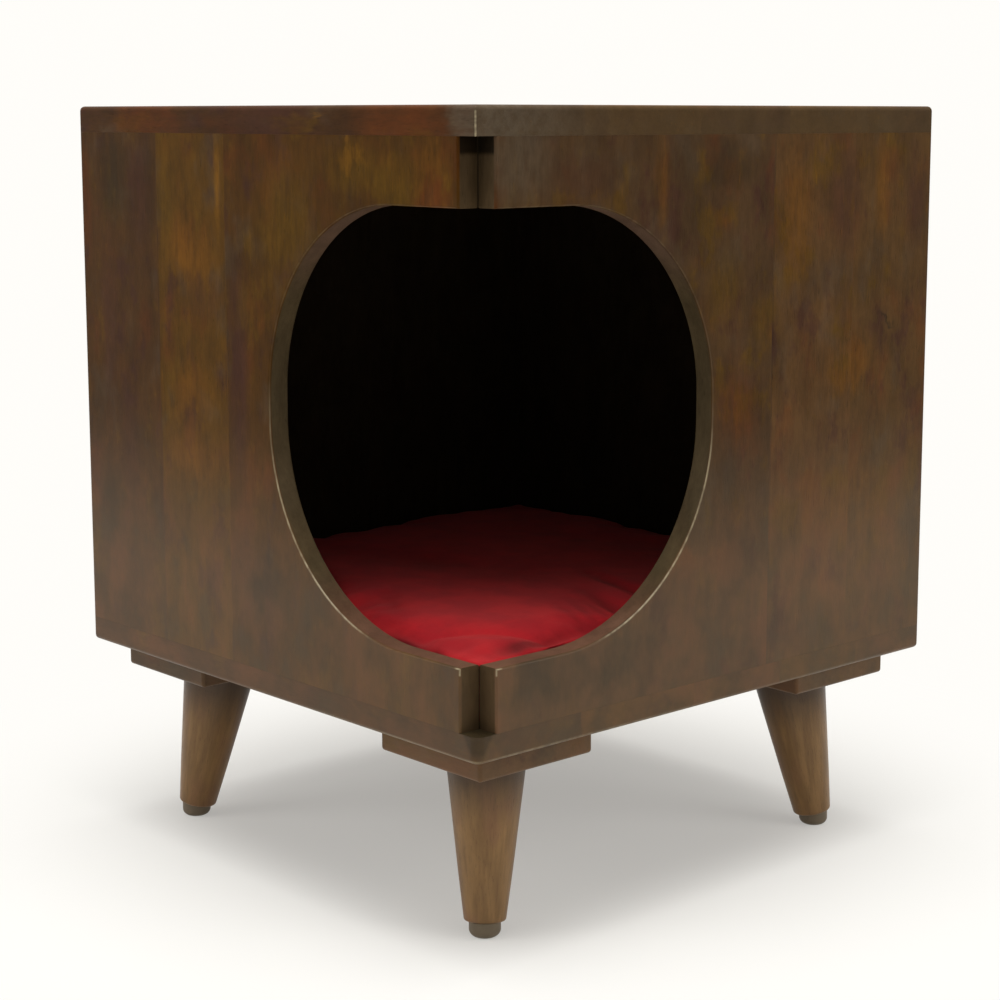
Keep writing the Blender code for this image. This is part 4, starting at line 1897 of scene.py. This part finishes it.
    def build(self) -> None:
        """Makes, stuffs, dresses and hands over the cushion."""
        obj = self.start_shape()
        self.stuff(obj)
        self.crease(obj)
        smooth = obj.modifiers.new("Soft", "SUBSURF")
        smooth.levels = smooth.render_levels = 1
        settle(obj)
        obj.data.shade_smooth()
        hand_over(obj, "cushion", RedWeave().dress("cushion_weave"), "cushion")


@dataclass
class Joinery:
    """The hidden dowels, hanger bolts and threaded inserts, which stay as the CAD has them."""

    kinds: tuple[tuple[str, Slot], ...] = (
        ("dowel", Slot.BEECH),
        ("hanger_bolt", Slot.STEEL),
        ("threaded_insert", Slot.STEEL),
    )

    def build(self) -> None:
        """Gives each of them its material."""
        finishes = {
            Slot.BEECH: BareBeech().dress("dowel_beech"),
            Slot.STEEL: ZincPlate().dress("fixing_zinc"),
        }
        for name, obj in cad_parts.items():
            for word, slot in self.kinds:
                if word in name:
                    for material_slot in obj.material_slots:
                        material_slot.material = finishes[slot]


@dataclass(frozen=True)
class Lamp:
    """A square soft lamp aimed at the middle of the table."""

    name: str
    place: tuple[float, float, float]
    size: float
    watts: float


@dataclass
class Studio:
    """The floor, the white surround, the lamps and the camera."""

    surround: Colour = (1.0, 0.985, 0.950, 1.0)
    fill: float = 0.34
    floor_radius: float = 6.0
    floor_steps: int = 96
    lamps: tuple[Lamp, ...] = (
        Lamp("overhead_lamp", (0.15, -0.15, 2.4), 1.8, 72.0),
        Lamp("left_lamp", (-1.2, -2.6, 1.4), 1.6, 18.0),
        Lamp("right_lamp", (2.6, 1.2, 1.4), 1.6, 18.0),
    )
    aim: tuple[float, float, float] = (0.0, 0.0, 0.30)
    sensor: float = 36.0
    lens: float = 76.766
    lens_shift: Point = (-0.0155, -0.0643)
    camera_place: tuple[float, float, float] = (1.3209, -1.1938, 0.6031)
    look_down: float = 8.5575
    turn: float = 47.5431

    def light_world(self) -> None:
        """Makes the surround white to the camera, to gloss and through glass, and softer as light."""
        world = bpy.data.worlds.new("studio")
        bpy.context.scene.world = world
        world.use_nodes = True
        graph = Graph(world.node_tree)
        strength = graph.seen() * (1 - self.fill) + self.fill
        background = graph.node("Background", sockets={"Color": self.surround, "Strength": strength})
        graph.node("OutputWorld", sockets={"Surface": background.outputs[0]})

    def lay_floor(self) -> None:
        """Lays a plain pale floor that keeps the table's shadow and goes over into the surround."""
        shape = bmesh.new()
        bmesh.ops.create_circle(shape, cap_ends=True, radius=self.floor_radius, segments=self.floor_steps)
        floor = new_object("studio_floor", shape)
        floor.data.materials.append(FloorPaint(self.surround).dress("studio_floor_paint"))

    def hang_lamps(self) -> None:
        """Hangs the soft lamps."""
        for lamp in self.lamps:
            data = bpy.data.lights.new(lamp.name, "AREA")
            data.shape = "SQUARE"
            data.size = lamp.size
            data.energy = lamp.watts
            obj = linked(lamp.name, data)
            obj.location = lamp.place
            obj.rotation_mode = "QUATERNION"
            obj.rotation_quaternion = (Vector(self.aim) - obj.location).to_track_quat("-Z", "Y")
            obj.visible_camera = False

    def set_camera(self) -> None:
        """Sets the camera at the photograph's angle."""
        data = bpy.data.cameras.new("studio_camera")
        data.sensor_fit = "HORIZONTAL"
        data.sensor_width = self.sensor
        data.lens = self.lens
        data.shift_x, data.shift_y = self.lens_shift
        camera = linked("studio_camera", data)
        camera.location = self.camera_place
        camera.rotation_euler = (math.radians(90 - self.look_down), 0.0, math.radians(self.turn))
        bpy.context.scene.camera = camera

    def build(self) -> None:
        """Sets up the studio."""
        self.light_world()
        self.lay_floor()
        self.hang_lamps()
        self.set_camera()
        bpy.context.scene.view_settings.view_transform = "Standard"


def main() -> None:
    """Builds the studio and dresses the table."""
    logging.basicConfig(level=logging.INFO, format="%(message)s")
    Studio().build()
    screw_holes = Underframe().build()
    House().build(screw_holes)
    Joinery().build()
    Cushion().build()


if __name__ == "__main__":
    main()
